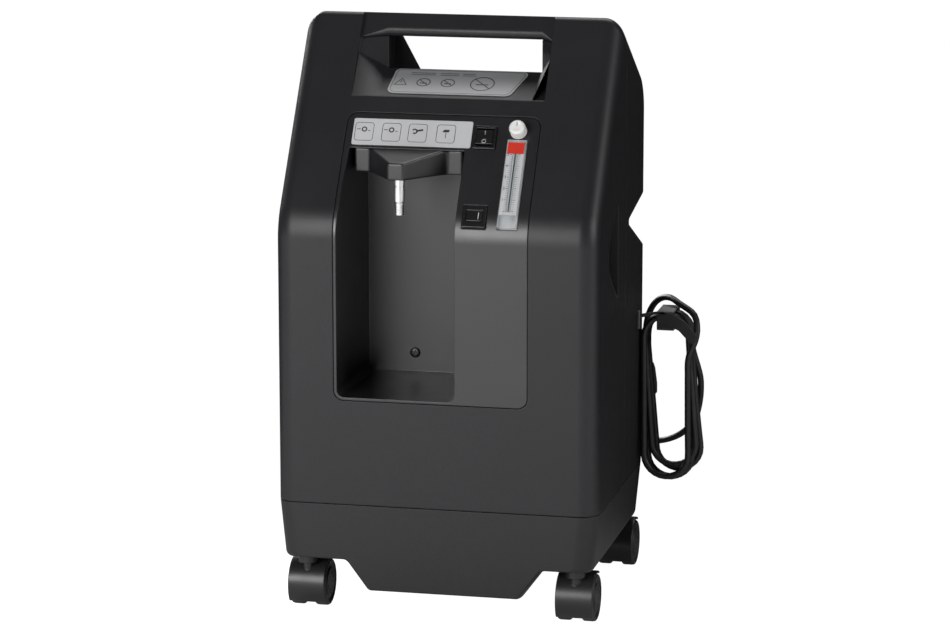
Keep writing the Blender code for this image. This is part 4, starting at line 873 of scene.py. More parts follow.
class CONCENTRATOR_OT_shells(bpy.types.Operator):
    """Front and rear cabinet shells with their handle, grips, scoops and vents"""

    bl_idname = "concentrator.shells"
    bl_label = "Cabinet shells"

    def execute(self, context):
        steps = context.scene.concentrator_detail.arc_steps
        corners, radii, edges, open_sides = front_outline()
        front = cabinet_body("front_outer", corners, radii, edges, 0.0, open_sides, steps)
        front_hollow = cabinet_body("front_hollow", corners, radii, edges, WALL, open_sides, steps)
        corners, radii, edges, open_sides = rear_outline()
        rear = cabinet_body("rear_outer", corners, radii, edges, 0.0, open_sides, steps)
        rear_hollow = cabinet_body("rear_hollow", corners, radii, edges, WALL, open_sides, steps)
        for maker in (pocket_cutter, channel_cutter):
            boolean(front_hollow, maker("hollow_wall", WALL))
            boolean(front, maker("hollow_cut", 0.0))
        boolean(rear_hollow, channel_cutter("channel_wall", WALL))
        boolean(rear, channel_cutter("channel_cut", 0.0))
        for side in (-1, 1):
            boolean(front_hollow, scoop_cutter("scoop_wall", side, WALL))
            boolean(front, scoop_cutter("scoop_cut", side, 0.0))
            boolean(rear_hollow, notch_cutter("notch_wall", side, WALL))
            boolean(rear, notch_cutter("notch_cut", side, 0.0))
        opening = rounded_box_outline(
            PANEL_WIDTH, PANEL_Z[1] - PANEL_Z[0], PANEL_CORNER, 10, (PANEL_CENTRE_X, sum(PANEL_Z) / 2)
        )
        wide, tall = DOOR_SIZE
        for target, hollow in ((front, front_hollow), (rear, rear_hollow)):
            solid = piece_of(evaluated(hollow))
            for step in list(hollow.modifiers):
                drop(step.object)
            drop(hollow)
            boolean(target, solid)
        boolean(front, prism("panel_opening", opening, "Y", FRONT_Y - 0.02, slope_y(PANEL_Z[1]) + 0.02))
        door = rounded_box_outline(wide, tall, 0.0015, 4, (0.0, DOOR_Z + tall / 2))
        boolean(rear, prism("door_opening", door, "Y", REAR_Y - 0.02, REAR_Y + 0.02))
        for i in range(VENT_SLOTS):
            slot = rounded_box_outline(VENT_WIDTH, VENT_HEIGHT, VENT_HEIGHT * 0.49, 6,
                                       (0.0, VENT_Z + VENT_PITCH * i + VENT_HEIGHT / 2))
            boolean(rear, prism(f"vent_{i}", slot, "Y", REAR_Y - 0.02, REAR_Y + 0.02))
        boolean(rear, cylinder("gland_hole", (GLAND_X, REAR_Y, GLAND_Z), (0, 1, 0), 0.008, 0.03))
        finish = moulded("moulded shell", tuple(context.scene.concentrator_finish.shell), 0.40)
        settle(front, "front_moulding", finish, "cabinet", ["front_shell"])
        settle(rear, "rear_moulding", finish, "cabinet", ["rear_shell"])
        return {"FINISHED"}


# ---- Control panel and outlet --------------------------------------------------------------------------
def panel_outline(sink, low, high, back):
    """Side outline of the panel: the cabinet's own front, sunk a little, and a flat back."""
    if low > BREAK_Z:
        corners = [(back, low), (back, high), (slope_y(high), high), (slope_y(low), low)]
        return offset_outline(corners, [0.0, 0.0, -sink, 0.0])
    corners = [(back, low), (back, high), (slope_y(high), high), (FRONT_Y, BREAK_Z), (FRONT_Y, low)]
    moved = offset_outline(corners, [0.0, 0.0, -sink, -sink, 0.0])
    return round_outline(moved, [0.0, 0.0, 0.0, BREAK_RADIUS - sink, 0.0], [0, 0, 0, 24, 0])


def nook_cutter():
    """The humidifier nook: its walls close in a little towards the back and its floor rises."""
    middle = (NOOK_X[0] + NOOK_X[1]) / 2
    rows = []
    for y, draft, rise in ((FRONT_Y - 0.02, -0.001, -0.001), (NOOK_BACK_Y, NOOK_DRAFT, NOOK_FLOOR_RISE)):
        width = NOOK_X[1] - NOOK_X[0] - draft
        low, high = NOOK_Z[0] + rise, NOOK_Z[1]
        left, right = middle + draft / 2 - width / 2, middle + draft / 2 + width / 2
        corners = [(left, low), (right, low), (right, high), (left, high)]
        outline = round_outline(corners, [0.008, 0.008, 0.002, 0.002], [8] * 4)
        rows.append([(x, y, z) for x, z in outline])
    return loft("nook_cut", rows)


class CONCENTRATOR_OT_panel(bpy.types.Operator):
    """Panel moulding with its nook and control column, the outlet bracket and the metal outlet"""

    bl_idname = "concentrator.panel"
    bl_label = "Panel and outlet"

    def execute(self, context):
        colour = tuple(context.scene.concentrator_finish.panel)
        sink = 0.0005
        half = PANEL_WIDTH / 2 - PANEL_CLEARANCE
        low, high = PANEL_Z[0] + PANEL_CLEARANCE, PANEL_Z[1] - PANEL_CLEARANCE
        back = NOOK_BACK_Y + WALL
        left, right = PANEL_CENTRE_X - half, PANEL_CENTRE_X + half
        panel = prism("panel_outer", panel_outline(sink, low, high, back), "X", left, right)
        around = rounded_box_outline(
            2 * half, high - low, PANEL_CORNER - PANEL_CLEARANCE, 10, (PANEL_CENTRE_X, (low + high) / 2)
        )
        boolean(panel, prism("panel_trim", around, "Y", FRONT_Y - 0.03, back + 0.03), "INTERSECT")
        boolean(panel, nook_cutter())
        inside = panel_outline(sink + WALL, low + WALL, high - WALL, back + 0.02)
        boolean(panel, prism("column_hollow", inside, "X", NOOK_X[1] + WALL, right - WALL))
        over_nook = panel_outline(sink + WALL, NOOK_Z[1] + WALL, high - WALL, back + 0.02)
        boolean(panel, prism("head_hollow", over_nook, "X", left + WALL, NOOK_X[1] + 2 * WALL))
        for x, z, size in ((SWITCH_X, SWITCH_Z, SWITCH_SIZE), (BREAKER_X, BREAKER_Z, BREAKER_SIZE),
                           (METER_X, METER_Z, METER_SIZE)):
            width, height = size[0] / 2 + GAP, size[1] / 2 + GAP
            boolean(panel, box("control_hole", (-width, -0.02, -height), (width, 0.02, height),
                               slope_place(x, z)))
        place = knob_place()
        boolean(panel, cylinder("knob_hole", place.translation, place.to_3x3() @ Vector((0, -1, 0)), 0.0036,
                                0.03))
        screw_x, screw_z = NOOK_SCREW
        boolean(panel, cylinder("nook_screw_hole", (screw_x, NOOK_BACK_Y, screw_z), (0, 1, 0), 0.0022, 0.02))
        settle(panel, "panel_moulding", moulded("moulded panel", colour, 0.33, 0.00006, 0.70), "cabinet",
               ["control_panel"])

        low, high = OUTLET_LOW_Z, NOOK_Z[1] - GAP
        left, right = NOOK_X[0] + NOOK_DRAFT + 0.001, NOOK_X[1] - 0.0025
        nose_y = OUTLET_Y - NOSE_REACH
        corners = [
            (left, -0.050), (right, -0.050), (right, SHOULDER_Y), (right - WING_WIDTH, SHOULDER_Y),
            (OUTLET_X + NOSE_HALF, nose_y), (OUTLET_X - NOSE_HALF, nose_y), (left + WING_WIDTH, SHOULDER_Y),
            (left, SHOULDER_Y),
        ]
        outline = round_outline(corners, [0.0, 0.0, 0.003, 0.006, 0.004, 0.004, 0.006, 0.003],
                                [0, 0, 5, 6, 8, 8, 6, 5])
        housing = prism("bracket_outer", outline, "Z", low, high)
        tip_y = nose_y - 0.010
        above = [
            (NOSE_FALL_Y, high), (NOSE_FALL_Y, high + 0.004), (tip_y, high + 0.004),
            (tip_y, high - NOSE_FALL * (NOSE_FALL_Y - tip_y)),
        ]
        boolean(housing, prism("nose_top", above, "X", left - 0.010, right + 0.010))
        bevel(housing, 0.0022, 4, 50)
        boolean(housing, cylinder("outlet_hole", (OUTLET_X, OUTLET_Y, low), (0, 0, 1), 0.0042 + GAP, 0.020))
        settle(housing, "outlet_bracket", moulded("moulded panel", colour), "cabinet",
               ["outlet_housing"])
        barbs = []
        for k in range(4):
            z = -0.0262 - 0.0030 * k
            barbs += [(0.0043, z), (0.0049, z - 0.0004), (0.0044, z - 0.0028)]
        profile = [(0.0030, 0.0080), (0.0042, 0.0080), (0.0042, -0.0003), (0.0054, -0.0003),
                   (0.0056, -0.0006), (0.0056, -0.0070), (0.0052, -0.0074), (0.0052, -0.0084),
                   (0.0056, -0.0088), (0.0056, -0.0235), (0.0053, -0.0242), (0.0048, -0.0250), *barbs,
                   (0.0040, -0.0380), (0.0030, -0.0380), (0.0030, 0.0080)]
        outlet = lathe("outlet_outer", profile, (OUTLET_X, OUTLET_Y, low), (0, 0, 1), 56)
        settle(outlet, "outlet_stub", metal("nickel plate", (0.88, 0.88, 0.87), 0.30), "cabinet",
               ["outlet_fitting"], 40.0)

        head = [(0.0, 0.0011), (0.0020, 0.0013), (0.0040, 0.0011), (0.0050, 0.0006), (0.0055, -0.0001),
                (0.0055, -0.0007), (0.0019, -0.0007), (0.0019, -0.0085), (0.0, -0.0085)]
        centre = Vector((screw_x, NOOK_BACK_Y - 0.0010, screw_z))
        screw = lathe("screw_outer", head, centre, (0, -1, 0))
        for turn in (20, 110):
            cross = Matrix.Translation(centre) @ Matrix.Rotation(math.radians(turn), 4, "Y")
            boolean(screw, box("screw_cross", (-0.0030, -0.003, -0.0005), (0.0030, -0.0001, 0.0005), cross))
        settle(screw, "bracket_screw", metal("blackened steel", (0.06, 0.06, 0.06), 0.34), "cabinet",
               ["nook_screw"])
        return {"FINISHED"}


def knob_place():
    """The frame on the leaning front where the flow knob turns."""
    return slope_place(METER_X, METER_Z + (METER_SIZE[1] / 2 + KNOB_RADIUS + 0.0012) * math.cos(LEAN))


# ---- Printed overlays ----------------------------------------------------------------------------------
def spanner(bm, x, z, low, high):
    """A small spanner pictogram."""
    turn = Matrix.Rotation(math.radians(102), 2)
    jaw = [Vector(point) for point in circle(0.0024, (0.0, 0.0034), 12, math.radians(130), math.radians(280))]
    stroke(bm, [(x + (turn @ point).x, z + (turn @ point).y) for point in jaw], 0.0015, low, high, False)
    shaft = [turn @ Vector(point) for point in ((0.0, 0.0012), (0.0, -0.0056))]
    stroke(bm, [(x + point.x, z + point.y) for point in shaft], 0.0020, low, high, False)


class CONCENTRATOR_OT_overlays(bpy.types.Operator):
    """The indicator strip and the ledge plate with their pictograms"""

    bl_idname = "concentrator.overlays"
    bl_label = "Printed overlays"

    def execute(self, context):
        wanted = context.scene.concentrator_finish
        ink = printed("black ink", (0.03, 0.03, 0.032), 0.45)
        sink = 0.0005 - GAP
        height = (OVERLAY_Z[1] - OVERLAY_Z[0]) / math.cos(LEAN)
        middle = sum(OVERLAY_X) / 2
        place = slope_place(middle, sum(OVERLAY_Z) / 2, sink)
        outline = rounded_box_outline(OVERLAY_X[1] - OVERLAY_X[0], height, 0.002, 6)
        strip = prism("strip_outer", outline, "Y", -0.0008, 0.0, place)
        settle(strip, "status_strip", printed("pale overlay", tuple(wanted.overlay)), "cabinet",
               ["indicator_strip"])
        low, high = -0.00092, -0.00079
        bm = bmesh.new()
        for x in ICON_X:
            stroke(bm, [(x - middle + u, v) for u, v in rounded_box_outline(0.0195, 0.0205, 0.0030, 5)],
                   0.0005, low, high)
        icon_z = 0.0026
        for x in (ICON_X[0] - middle, ICON_X[1] - middle):
            stroke(bm, [(u, v) for u, v in circle(0.0023, (x, icon_z))], 0.0013, low, high)
            stroke(bm, [(x - 0.0080, icon_z), (x - 0.0042, icon_z)], 0.0008, low, high, False)
            stroke(bm, [(x + 0.0042, icon_z - 0.0014), (x + 0.0064, icon_z - 0.0014)], 0.0008, low, high,
                   False)
        spanner(bm, ICON_X[2] - middle, icon_z, low, high)
        x = ICON_X[3] - middle
        patch(bm, [(x - 0.0040, 0.0020), (x + 0.0030, 0.0020), (x + 0.0038, 0.0048), (x - 0.0022, 0.0048)],
              low, high)
        stroke(bm, [(x, 0.0018), (x, -0.0048)], 0.0006, low, high, False)
        settle(add("strip_ink", bm, place), "status_pictograms", ink, "cabinet", angle=20.0)

        ledge_front = Vector((slope_y(LEDGE_FRONT_Z), LEDGE_FRONT_Z))
        run = Vector(LEDGE_REAR) - ledge_front
        centre = ledge_front + run * 0.53
        outline = round_outline([(-0.070, -0.023), (0.062, -0.023), (0.076, 0.023), (-0.068, 0.023)],
                                [0.008, 0.008, 0.006, 0.006], [6] * 4)
        tilt = Matrix.Rotation(math.atan2(run.y, run.x), 4, "X")
        place = Matrix.Translation((PANEL_CENTRE_X + 0.003, centre.x, centre.y)) @ tilt
        plate = prism("plate_outer", outline, "Z", GAP, GAP + 0.0008, place)
        settle(plate, "ledge_plate", printed("grey plate", tuple(wanted.plate), 0.45), "cabinet",
               ["handle_plate"])
        # Pictograms are drawn upright, then laid on the plate.
        lay = place @ Matrix.Rotation(math.radians(-90), 4, "X")
        low, high = -(GAP + 0.00092), -(GAP + 0.00079)
        bm = bmesh.new()
        border = [(u * 0.965, v * 0.92) for u, v in outline]
        stroke(bm, border, 0.0005, low, high)
        warning_x, warning_half = -0.0580, 0.0065
        triangle = [(warning_x - warning_half, -0.0075), (warning_x + warning_half, -0.0075),
                    (warning_x, 0.0045)]
        stroke(bm, triangle, 0.0009, low, high)
        stroke(bm, [(warning_x, 0.0005), (warning_x, -0.0035)], 0.0009, low, high, False)
        for x, radius in ((-0.034, 0.0070), (-0.008, 0.0070), (0.029, 0.0125)):
            stroke(bm, circle(radius, (x, -0.0020), 32), 0.0012, low, high)
            arm = radius * 0.66
            stroke(bm, [(x - arm, -0.0020 + arm), (x + arm, -0.0020 - arm)], 0.0011, low, high, False)
            stroke(bm, [(x - arm * 0.8, -0.0035), (x + arm * 0.8, -0.0035)], 0.0016, low, high, False)
        for row in range(2):
            for x, length in ((-0.050, 0.026), (-0.019, 0.020), (0.005, 0.014)):
                z = 0.0125 + 0.0032 * row
                stroke(bm, [(x, z), (x + length, z)], 0.0008, low, high, False)
        settle(add("plate_ink", bm, lay), "ledge_pictograms", ink, "cabinet", angle=20.0)
        return {"FINISHED"}


# ---- Switches ------------------------------------------------------------------------------------------
ROCKER_SWING = math.radians(14.0)


class CONCENTRATOR_OT_switches(bpy.types.Operator):
    """The power rocker and the reset button with the frames that they move in"""

    bl_idname = "concentrator.switches"
    bl_label = "Switches"

    def execute(self, context):
        black = moulded("switch plastic", (0.011, 0.011, 0.011), 0.26, 0.00003, 0.5)
        white = printed("white ink", (0.80, 0.80, 0.78), 0.4)
        place = slope_place(SWITCH_X, SWITCH_Z)
        wide, tall = SWITCH_SIZE
        bezel = box("bezel_outer", (-wide / 2, -0.0015, -tall / 2), (wide / 2, 0.012, tall / 2), place,
                    0.0006)
        well = (0.0185, 0.0205)
        boolean(bezel, box("well", (-well[0] / 2, -0.01, -well[1] / 2), (well[0] / 2, 0.009, well[1] / 2),
                           place))
        settle(bezel, "switch_frame", black, "cabinet", ["switch_bezel"])
        half = well[1] / 2 - 0.00135
        tip = half * math.tan(ROCKER_SWING / 2)
        face = [(-0.0022 - tip, -half), (-0.0013, 0.0), (-0.0022 + tip, half), (0.0040, half * 0.6),
                (0.0055, 0.0), (0.0040, -half * 0.6)]
        rounded = round_outline(face, [0.0006, 0.009, 0.0006, 0.0, 0.0, 0.0], [4, 8, 4, 0, 0, 0])
        rocker = prism("rocker_outer", rounded, "X", -well[0] / 2 + 0.0005, well[0] / 2 - 0.0005, place)
        settle(rocker, "rocker_key", black, "rocker", ["power_rocker"])
        bm = bmesh.new()
        lean = math.atan2(tip - 0.0009, half)
        stroke(bm, circle(0.0021, (0.0, -0.0052), 24), 0.0004, -0.0001, 0.0001)
        stroke(bm, [(0.0, 0.0032), (0.0, 0.0072)], 0.0005, -0.0001, 0.0001, False)
        for vert in bm.verts:
            share = abs(vert.co.z) / half
            end = (-0.0022 - tip) if vert.co.z < 0 else (-0.0022 + tip)
            vert.co.y += -0.0013 + (end + 0.0013) * share - 0.00012 * math.cos(lean)
        settle(add("rocker_ink", bm, place), "rocker_marks", white, "rocker", angle=20.0)

        place = slope_place(BREAKER_X, BREAKER_Z)
        wide, tall = BREAKER_SIZE
        bezel = box("reset_outer", (-wide / 2, -0.0012, -tall / 2), (wide / 2, 0.012, tall / 2), place,
                    0.0006)
        boolean(bezel, box("reset_well", (-0.0085, -0.01, -0.0065), (0.0085, 0.0095, 0.0065), place))
        settle(bezel, "reset_frame", black, "cabinet", ["reset_bezel"])
        button = box("button_outer", (-0.0080, -0.0020, -0.0060), (0.0080, 0.0050, 0.0060), place, 0.0007)
        settle(button, "reset_key_cap", black, "reset_key", ["reset_button"])
        bm = bmesh.new()
        stroke(bm, [(0.0045, -0.0036), (0.0045, 0.0036)], 0.0006, -0.00212, -0.00198, False)
        settle(add("button_ink", bm, place), "reset_mark", white, "reset_key", angle=20.0)
        return {"FINISHED"}


# ---- Flow meter ----------------------------------------------------------------------------------------
class CONCENTRATOR_OT_meter(bpy.types.Operator):
    """The clear flow meter with its tube, float, scale and white knob"""

    bl_idname = "concentrator.meter"
    bl_label = "Flow meter"

    def execute(self, context):
        wanted, detail = context.scene.concentrator_finish, context.scene.concentrator_detail
        ink = printed("black ink", (0.03, 0.03, 0.032), 0.45)
        overlay = printed("pale overlay", tuple(wanted.overlay))
        place = slope_place(METER_X, METER_Z)
        width, height = METER_SIZE
        block = box("block_outer", (-width / 2, -0.0030, -height / 2),
                    (width / 2, METER_DEPTH - 0.0030, height / 2), place, 0.0008)
        bore_low, bore_high = -height / 2 + 0.010, height / 2 + 0.010
        axis = place.to_3x3() @ Vector((0, 0, 1))
        boolean(block, cylinder("bore", place @ Vector((0, 0.0025, (bore_low + bore_high) / 2)), axis,
                                METER_BORE, bore_high - bore_low))
        settle(block, "meter_body", acrylic("clear acrylic", (0.80, 0.84, 0.86)), "cabinet",
               ["meter_block"])
        backing = box("backing", (-width / 2 + 0.0012, METER_DEPTH - 0.0062, -height / 2 + 0.0012),
                      (width / 2 - 0.0012, METER_DEPTH - 0.0050, height / 2 - 0.0012), place)
        settle(backing, "meter_backing", overlay, "cabinet")
        rest = bore_low + FLOAT_RADIUS + 0.0005
        arc = [(FLOAT_RADIUS * math.sin(math.pi * k / 16), -FLOAT_RADIUS * math.cos(math.pi * k / 16))
               for k in range(17)]
        ball = lathe("ball", [(max(r, 0.0) if 0 < k < 16 else 0.0, h) for k, (r, h) in enumerate(arc)],
                     place @ Vector((0, 0.0025, rest)), axis, 32)
        settle(ball, "float_bead", metal("dark bead", (0.12, 0.12, 0.13), 0.2), "float",
               ["meter_float"])
        face = -0.0030 - GAP - 0.0004
        strip = box("scale_outer", (-0.0090, face, -0.036), (0.0090, -0.0030 - GAP, 0.046), place)
        boolean(strip, box("scale_slot", (-0.0030, -0.006, -0.033), (0.0030, 0.001, 0.040), place))
        settle(strip, "flow_scale", overlay, "cabinet", ["meter_scale"])
        low, high = face - 0.00012, face + 0.00001
        bm = bmesh.new()
        patch(bm, [(-0.0088, 0.0330), (0.0088, 0.0330), (0.0088, 0.0458), (-0.0088, 0.0458)], low, high)
        settle(add("zone", bm, place), "top_zone", printed("red ink", tuple(wanted.zone), 0.35), "cabinet",
               angle=20.0)
        run = 0.064
        # The first of these is a thin dark ink strip down the scale's slot: painted shade standing in for the
        # shading inside the tube, not a printed line.
        marks_and_tube_shade = [evaluated(box("tube_line", (-0.0006, -0.00312, -0.032), (0.0006, -0.0030, 0.0335), place))]
        for side in (-1, 1):
            pitch = run / (detail.ticks - 1)
            fine = box("tick", (-0.0010, low, -0.00014), (0.0010, high, 0.00014))
            marks_and_tube_shade.append(repeated(fine, detail.ticks, (0, 0, pitch), (0, 0, 0), ink,
                                  place @ Matrix.Translation((side * 0.0042, 0, -0.032))))
            bold = box("bold_tick", (-0.0012, low, -0.00028), (0.0012, high, 0.00028))
            marks_and_tube_shade.append(repeated(bold, 6, (0, 0, run / 5), (0, 0, 0), ink,
                                  place @ Matrix.Translation((side * 0.0045, 0, -0.032))))
        for k in range(1, 6):
            written = bpy.data.curves.new("digit", "FONT")
            written.body = str(k)
            written.size = 0.0044
            written.align_x = "CENTER"
            written.align_y = "CENTER"
            written.extrude = 0.00006
            item = bpy.data.objects.new("digit", written)
            workshop("making").objects.link(item)
            mesh = evaluated(item)
            drop(item)
            stand = Matrix.Rotation(math.radians(90), 4, "X")
            lift = Matrix.Translation((-0.0074, face - 0.00006, -0.032 + run / 5 * k))
            mesh.transform(place @ lift @ stand)
            marks_and_tube_shade.append(mesh)
        # One piece holds the printed ticks and digits together with the painted tube shade.
        settle(piece_of(marks_and_tube_shade[0]), "scale_marks", ink, "cabinet", angle=20.0, extra=marks_and_tube_shade[1:])

        place = knob_place()
        outwards = place.to_3x3() @ Vector((0, -1, 0))
        profile = [(0.0, KNOB_LENGTH - 0.0002), (0.0030, KNOB_LENGTH), (0.0052, KNOB_LENGTH + 0.0008),
                   (0.0060, KNOB_LENGTH + 0.0010), (0.0069, KNOB_LENGTH + 0.0006),
                   (0.0076, KNOB_LENGTH - 0.0004), (0.0080, KNOB_LENGTH - 0.0016), (0.0083, 0.0060),
                   (0.0083, 0.0020), (0.0087, 0.0018), (0.0087, 0.0012), (0.0030, 0.0012),
                   (0.0030, -0.0090), (0.0, -0.0090)]
        knob = lathe("knob_outer", profile, place.translation, outwards, 64)
        white = moulded("knob plastic", tuple(wanted.knob), 0.34, 0.00003, 0.5)
        rib = box("rib", (0.0078, -0.00035, 0.0024), (0.0086, 0.00035, KNOB_LENGTH - 0.0016), Matrix(),
                  0.0002, 1)
        turn = Matrix.Translation(place.translation) @ along(outwards)
        ribs = repeated(rib, detail.knob_ribs, (0, 0, 0), (0, 0, math.tau / detail.knob_ribs), white, turn)
        settle(knob, "flow_control", white, "knob", ["flow_knob"], extra=[ribs])
        bm = bmesh.new()
        stroke(bm, [(0.0, 0.0012), (0.0, 0.0050)], 0.0004, -KNOB_LENGTH - 0.0011, -KNOB_LENGTH + 0.0002,
               False)
        settle(add("pointer", bm, place), "knob_pointer", ink, "knob", angle=20.0)
        return {"FINISHED"}


# ---- Base and casters ----------------------------------------------------------------------------------
def base_sections(inset, top_z, end_steps):
    """Sections of the pan from front to back, each its outline seen from the front."""
    left, right = BELLY_X
    half_low = HALF_WIDTH - BASE_TAPER
    corners = [
        (-HALF_WIDTH, top_z), (-half_low, BASE_LOW_Z), (left - BELLY_RUN, BASE_LOW_Z), (left, BELLY_Z),
        (right, BELLY_Z), (right + BELLY_RUN, BASE_LOW_Z), (half_low, BASE_LOW_Z), (HALF_WIDTH, top_z),
    ]
    radii = [0.0, 0.006, 0.008, 0.006, 0.006, 0.008, 0.006, 0.0]
    turns = [math.pi / 2 * k / end_steps for k in range(end_steps + 1)]
    stations = [(FRONT_Y + inset + FRONT_RADIUS * (1 - math.cos(a)), FRONT_RADIUS * (1 - math.sin(a)))
                for a in turns]
    stations += [(REAR_Y - inset - REAR_RADIUS * (1 - math.cos(a)), REAR_RADIUS * (1 - math.sin(a)))
                 for a in reversed(turns)]
    rows = []
    for y, drop_in in stations:
        under = 0.004 * min(drop_in / FRONT_RADIUS, 1.0)
        side, floor = -inset - drop_in, -inset - under
        moved = offset_outline(corners, [side, floor, floor, floor, floor, floor, side,
                                         0.004 if inset else 0.0])
        smaller = [max(r - inset * 0.4, 0.001) if r else 0.0 for r in radii]
        rows.append([(x, y, z) for x, z in round_outline(moved, smaller, [6 if r else 0 for r in radii])])
    return rows


class CONCENTRATOR_OT_base(bpy.types.Operator):
    """The base pan under the cabinet"""

    bl_idname = "concentrator.base"
    bl_label = "Base pan"

    def execute(self, context):
        steps = context.scene.concentrator_detail.arc_steps
        top = BASE_SEAM_Z - SEAM_GAP / 2
        pan = loft("pan_outer", base_sections(0.0, top, steps))
        boolean(pan, loft("pan_hollow", base_sections(WALL, top, steps)))
        for x in (-CASTER_X, CASTER_X):
            for y in CASTER_Y:
                boolean(pan, cylinder("boss", (x, y, BASE_LOW_Z + 0.013), (0, 0, 1), 0.011, 0.022), "UNION")
                boolean(pan, cylinder("stem_hole", (x, y, BASE_LOW_Z), (0, 0, 1), STEM_RADIUS + GAP, 0.032))
        finish = moulded("moulded base", tuple(context.scene.concentrator_finish.base), 0.46)
        settle(pan, "base_moulding", finish, "cabinet", ["base_pan"])
        return {"FINISHED"}


def caster_hood(x, y):
    """A curved hood with its web, collar and stem."""
    axle_y = y + CASTER_TRAIL
    web = CASTER_WIDTH - 2 * WHEEL_WIDTH - 2 * 0.0012
    first, last = math.radians(-38), math.radians(118)
    turns = [first + (last - first) * k / 36 for k in range(37)]
    inner_radius = WHEEL_RADIUS + 0.0010

    def arc(radius):
        return [(axle_y - radius * math.cos(a), WHEEL_RADIUS + radius * math.sin(a)) for a in turns]

    half = CASTER_WIDTH / 2
    hood = prism("hood_outer", arc(HOOD_RADIUS) + arc(inner_radius)[::-1], "X", x - half, x + half)
    bevel(hood, 0.0011, 3, 50)
    web_outline = [*arc((HOOD_RADIUS + inner_radius) / 2), (axle_y + 0.008, WHEEL_RADIUS - 0.010)]
    boolean(hood, prism("web", web_outline, "X", x - web / 2, x + web / 2), "UNION")
    low, collar_top = WHEEL_RADIUS + inner_radius, BASE_LOW_Z - 0.0008
    boolean(hood, lathe("collar", [(0, low), (0.0105, low), (0.0105, collar_top - 0.001),
                                   (0.0095, collar_top), (0, collar_top)], (x, y, 0), (0, 0, 1)), "UNION")
    stem_low, stem_top = WHEEL_RADIUS + 0.012, BASE_LOW_Z + 0.012
    boolean(hood, cylinder("stem", (x, y, (stem_low + stem_top) / 2), (0, 0, 1), STEM_RADIUS,
                           stem_top - stem_low), "UNION")
    boolean(hood, cylinder("axle_hole", (x, axle_y, WHEEL_RADIUS), (1, 0, 0), AXLE_RADIUS + GAP, 0.06))
    return hood


def caster_wheel(x, axle_y, side, ribs, finish):
    """A wheel with a rounded tread and a ribbed cap."""
    radius, half = WHEEL_RADIUS, WHEEL_WIDTH / 2
    bore = AXLE_RADIUS + GAP
    profile = [
        (0.0, half - 0.0002), (0.10 * radius, half), (0.58 * radius, half), (0.63 * radius, half - 0.0016),
        (0.72 * radius, half - 0.0022), (0.82 * radius, half - 0.0014), (0.86 * radius, half - 0.0001),
        (0.93 * radius, half), (0.965 * radius, half - 0.0005), (0.99 * radius, half - 0.0015),
        (radius, half - 0.0032), (radius, -half + 0.0018), (0.985 * radius, -half + 0.0006),
        (0.96 * radius, -half), (bore, -half), (bore, half - 0.0035), (0.0, half - 0.0035),
    ]
    centre = (x + side * (CASTER_WIDTH / 2 - half), axle_y, WHEEL_RADIUS)
    rib = box("rib", (0.30 * radius, -0.0005, half - 0.0004), (0.56 * radius, 0.0005, half + 0.00035),
              Matrix(), 0.0002, 1)
    turn = Matrix.Translation(centre) @ along((side, 0, 0))
    spokes = repeated(rib, ribs, (0, 0, 0), (0, 0, math.tau / ribs), finish, turn)
    return lathe("wheel_outer", profile, centre, (side, 0, 0), 64), spokes


class CONCENTRATOR_OT_casters(bpy.types.Operator):
    """Four twin-wheel casters"""

    bl_idname = "concentrator.casters"
    bl_label = "Casters"

    def execute(self, context):
        hood_finish = moulded("caster plastic", (0.016, 0.016, 0.0175), 0.34, 0.00004, 0.5)
        tread = rubber("wheel rubber", (0.013, 0.013, 0.014), 0.52)
        ribs = context.scene.concentrator_detail.wheel_ribs
        for x, side_name in ((-CASTER_X, "left"), (CASTER_X, "right")):
            for y, end in zip(CASTER_Y, ("front", "rear")):
                label = f"{end}_{side_name}"
                settle(caster_hood(x, y), f"caster_fork_{label}", hood_finish, f"caster_{label}",
                       [f"caster_hood_{label}"])
                for side, which in ((-1, "a"), (1, "b")):
                    wheel, spokes = caster_wheel(x, y + CASTER_TRAIL, side, ribs, tread)
                    settle(wheel, f"caster_roller_{label}_{which}", tread, f"wheel_{label}_{which}",
                           [f"caster_wheel_{label}_{which}"], extra=[spokes])
                repaint(metal("zinc plate", (0.62, 0.63, 0.64), 0.34), f"caster_axle_{label}")
        return {"FINISHED"}


# ---- Mains lead ----------------------------------------------------------------------------------------
def smooth_route(points, spacing):
    """Points at an even spacing on the smooth curve through a route's own points."""
    route = [Vector(point) for point in points]
    padded = [route[0] * 2 - route[1], *route, route[-1] * 2 - route[-2]]
    fine = []
    for before, start, end, after in zip(padded, padded[1:], padded[2:], padded[3:]):
        for step in range(20):
            t = step / 20
            fine.append(
                0.5 * (2 * start + (end - before) * t
                       + (2 * before - 5 * start + 4 * end - after) * t ** 2
                       + (3 * start - before - 3 * end + after) * t ** 3)
            )
    fine.append(route[-1])
    total = sum((b - a).length for a, b in zip(fine, fine[1:]))
    pieces = max(2, round(total / spacing))
    even, run, wanted = [fine[0]], 0.0, 1
    for a, b in zip(fine, fine[1:]):
        step = (b - a).length
        while wanted < pieces and run + step >= total * wanted / pieces:
            even.append(a.lerp(b, (total * wanted / pieces - run) / step))
            wanted += 1
        run += step
    even.append(fine[-1])
    return even


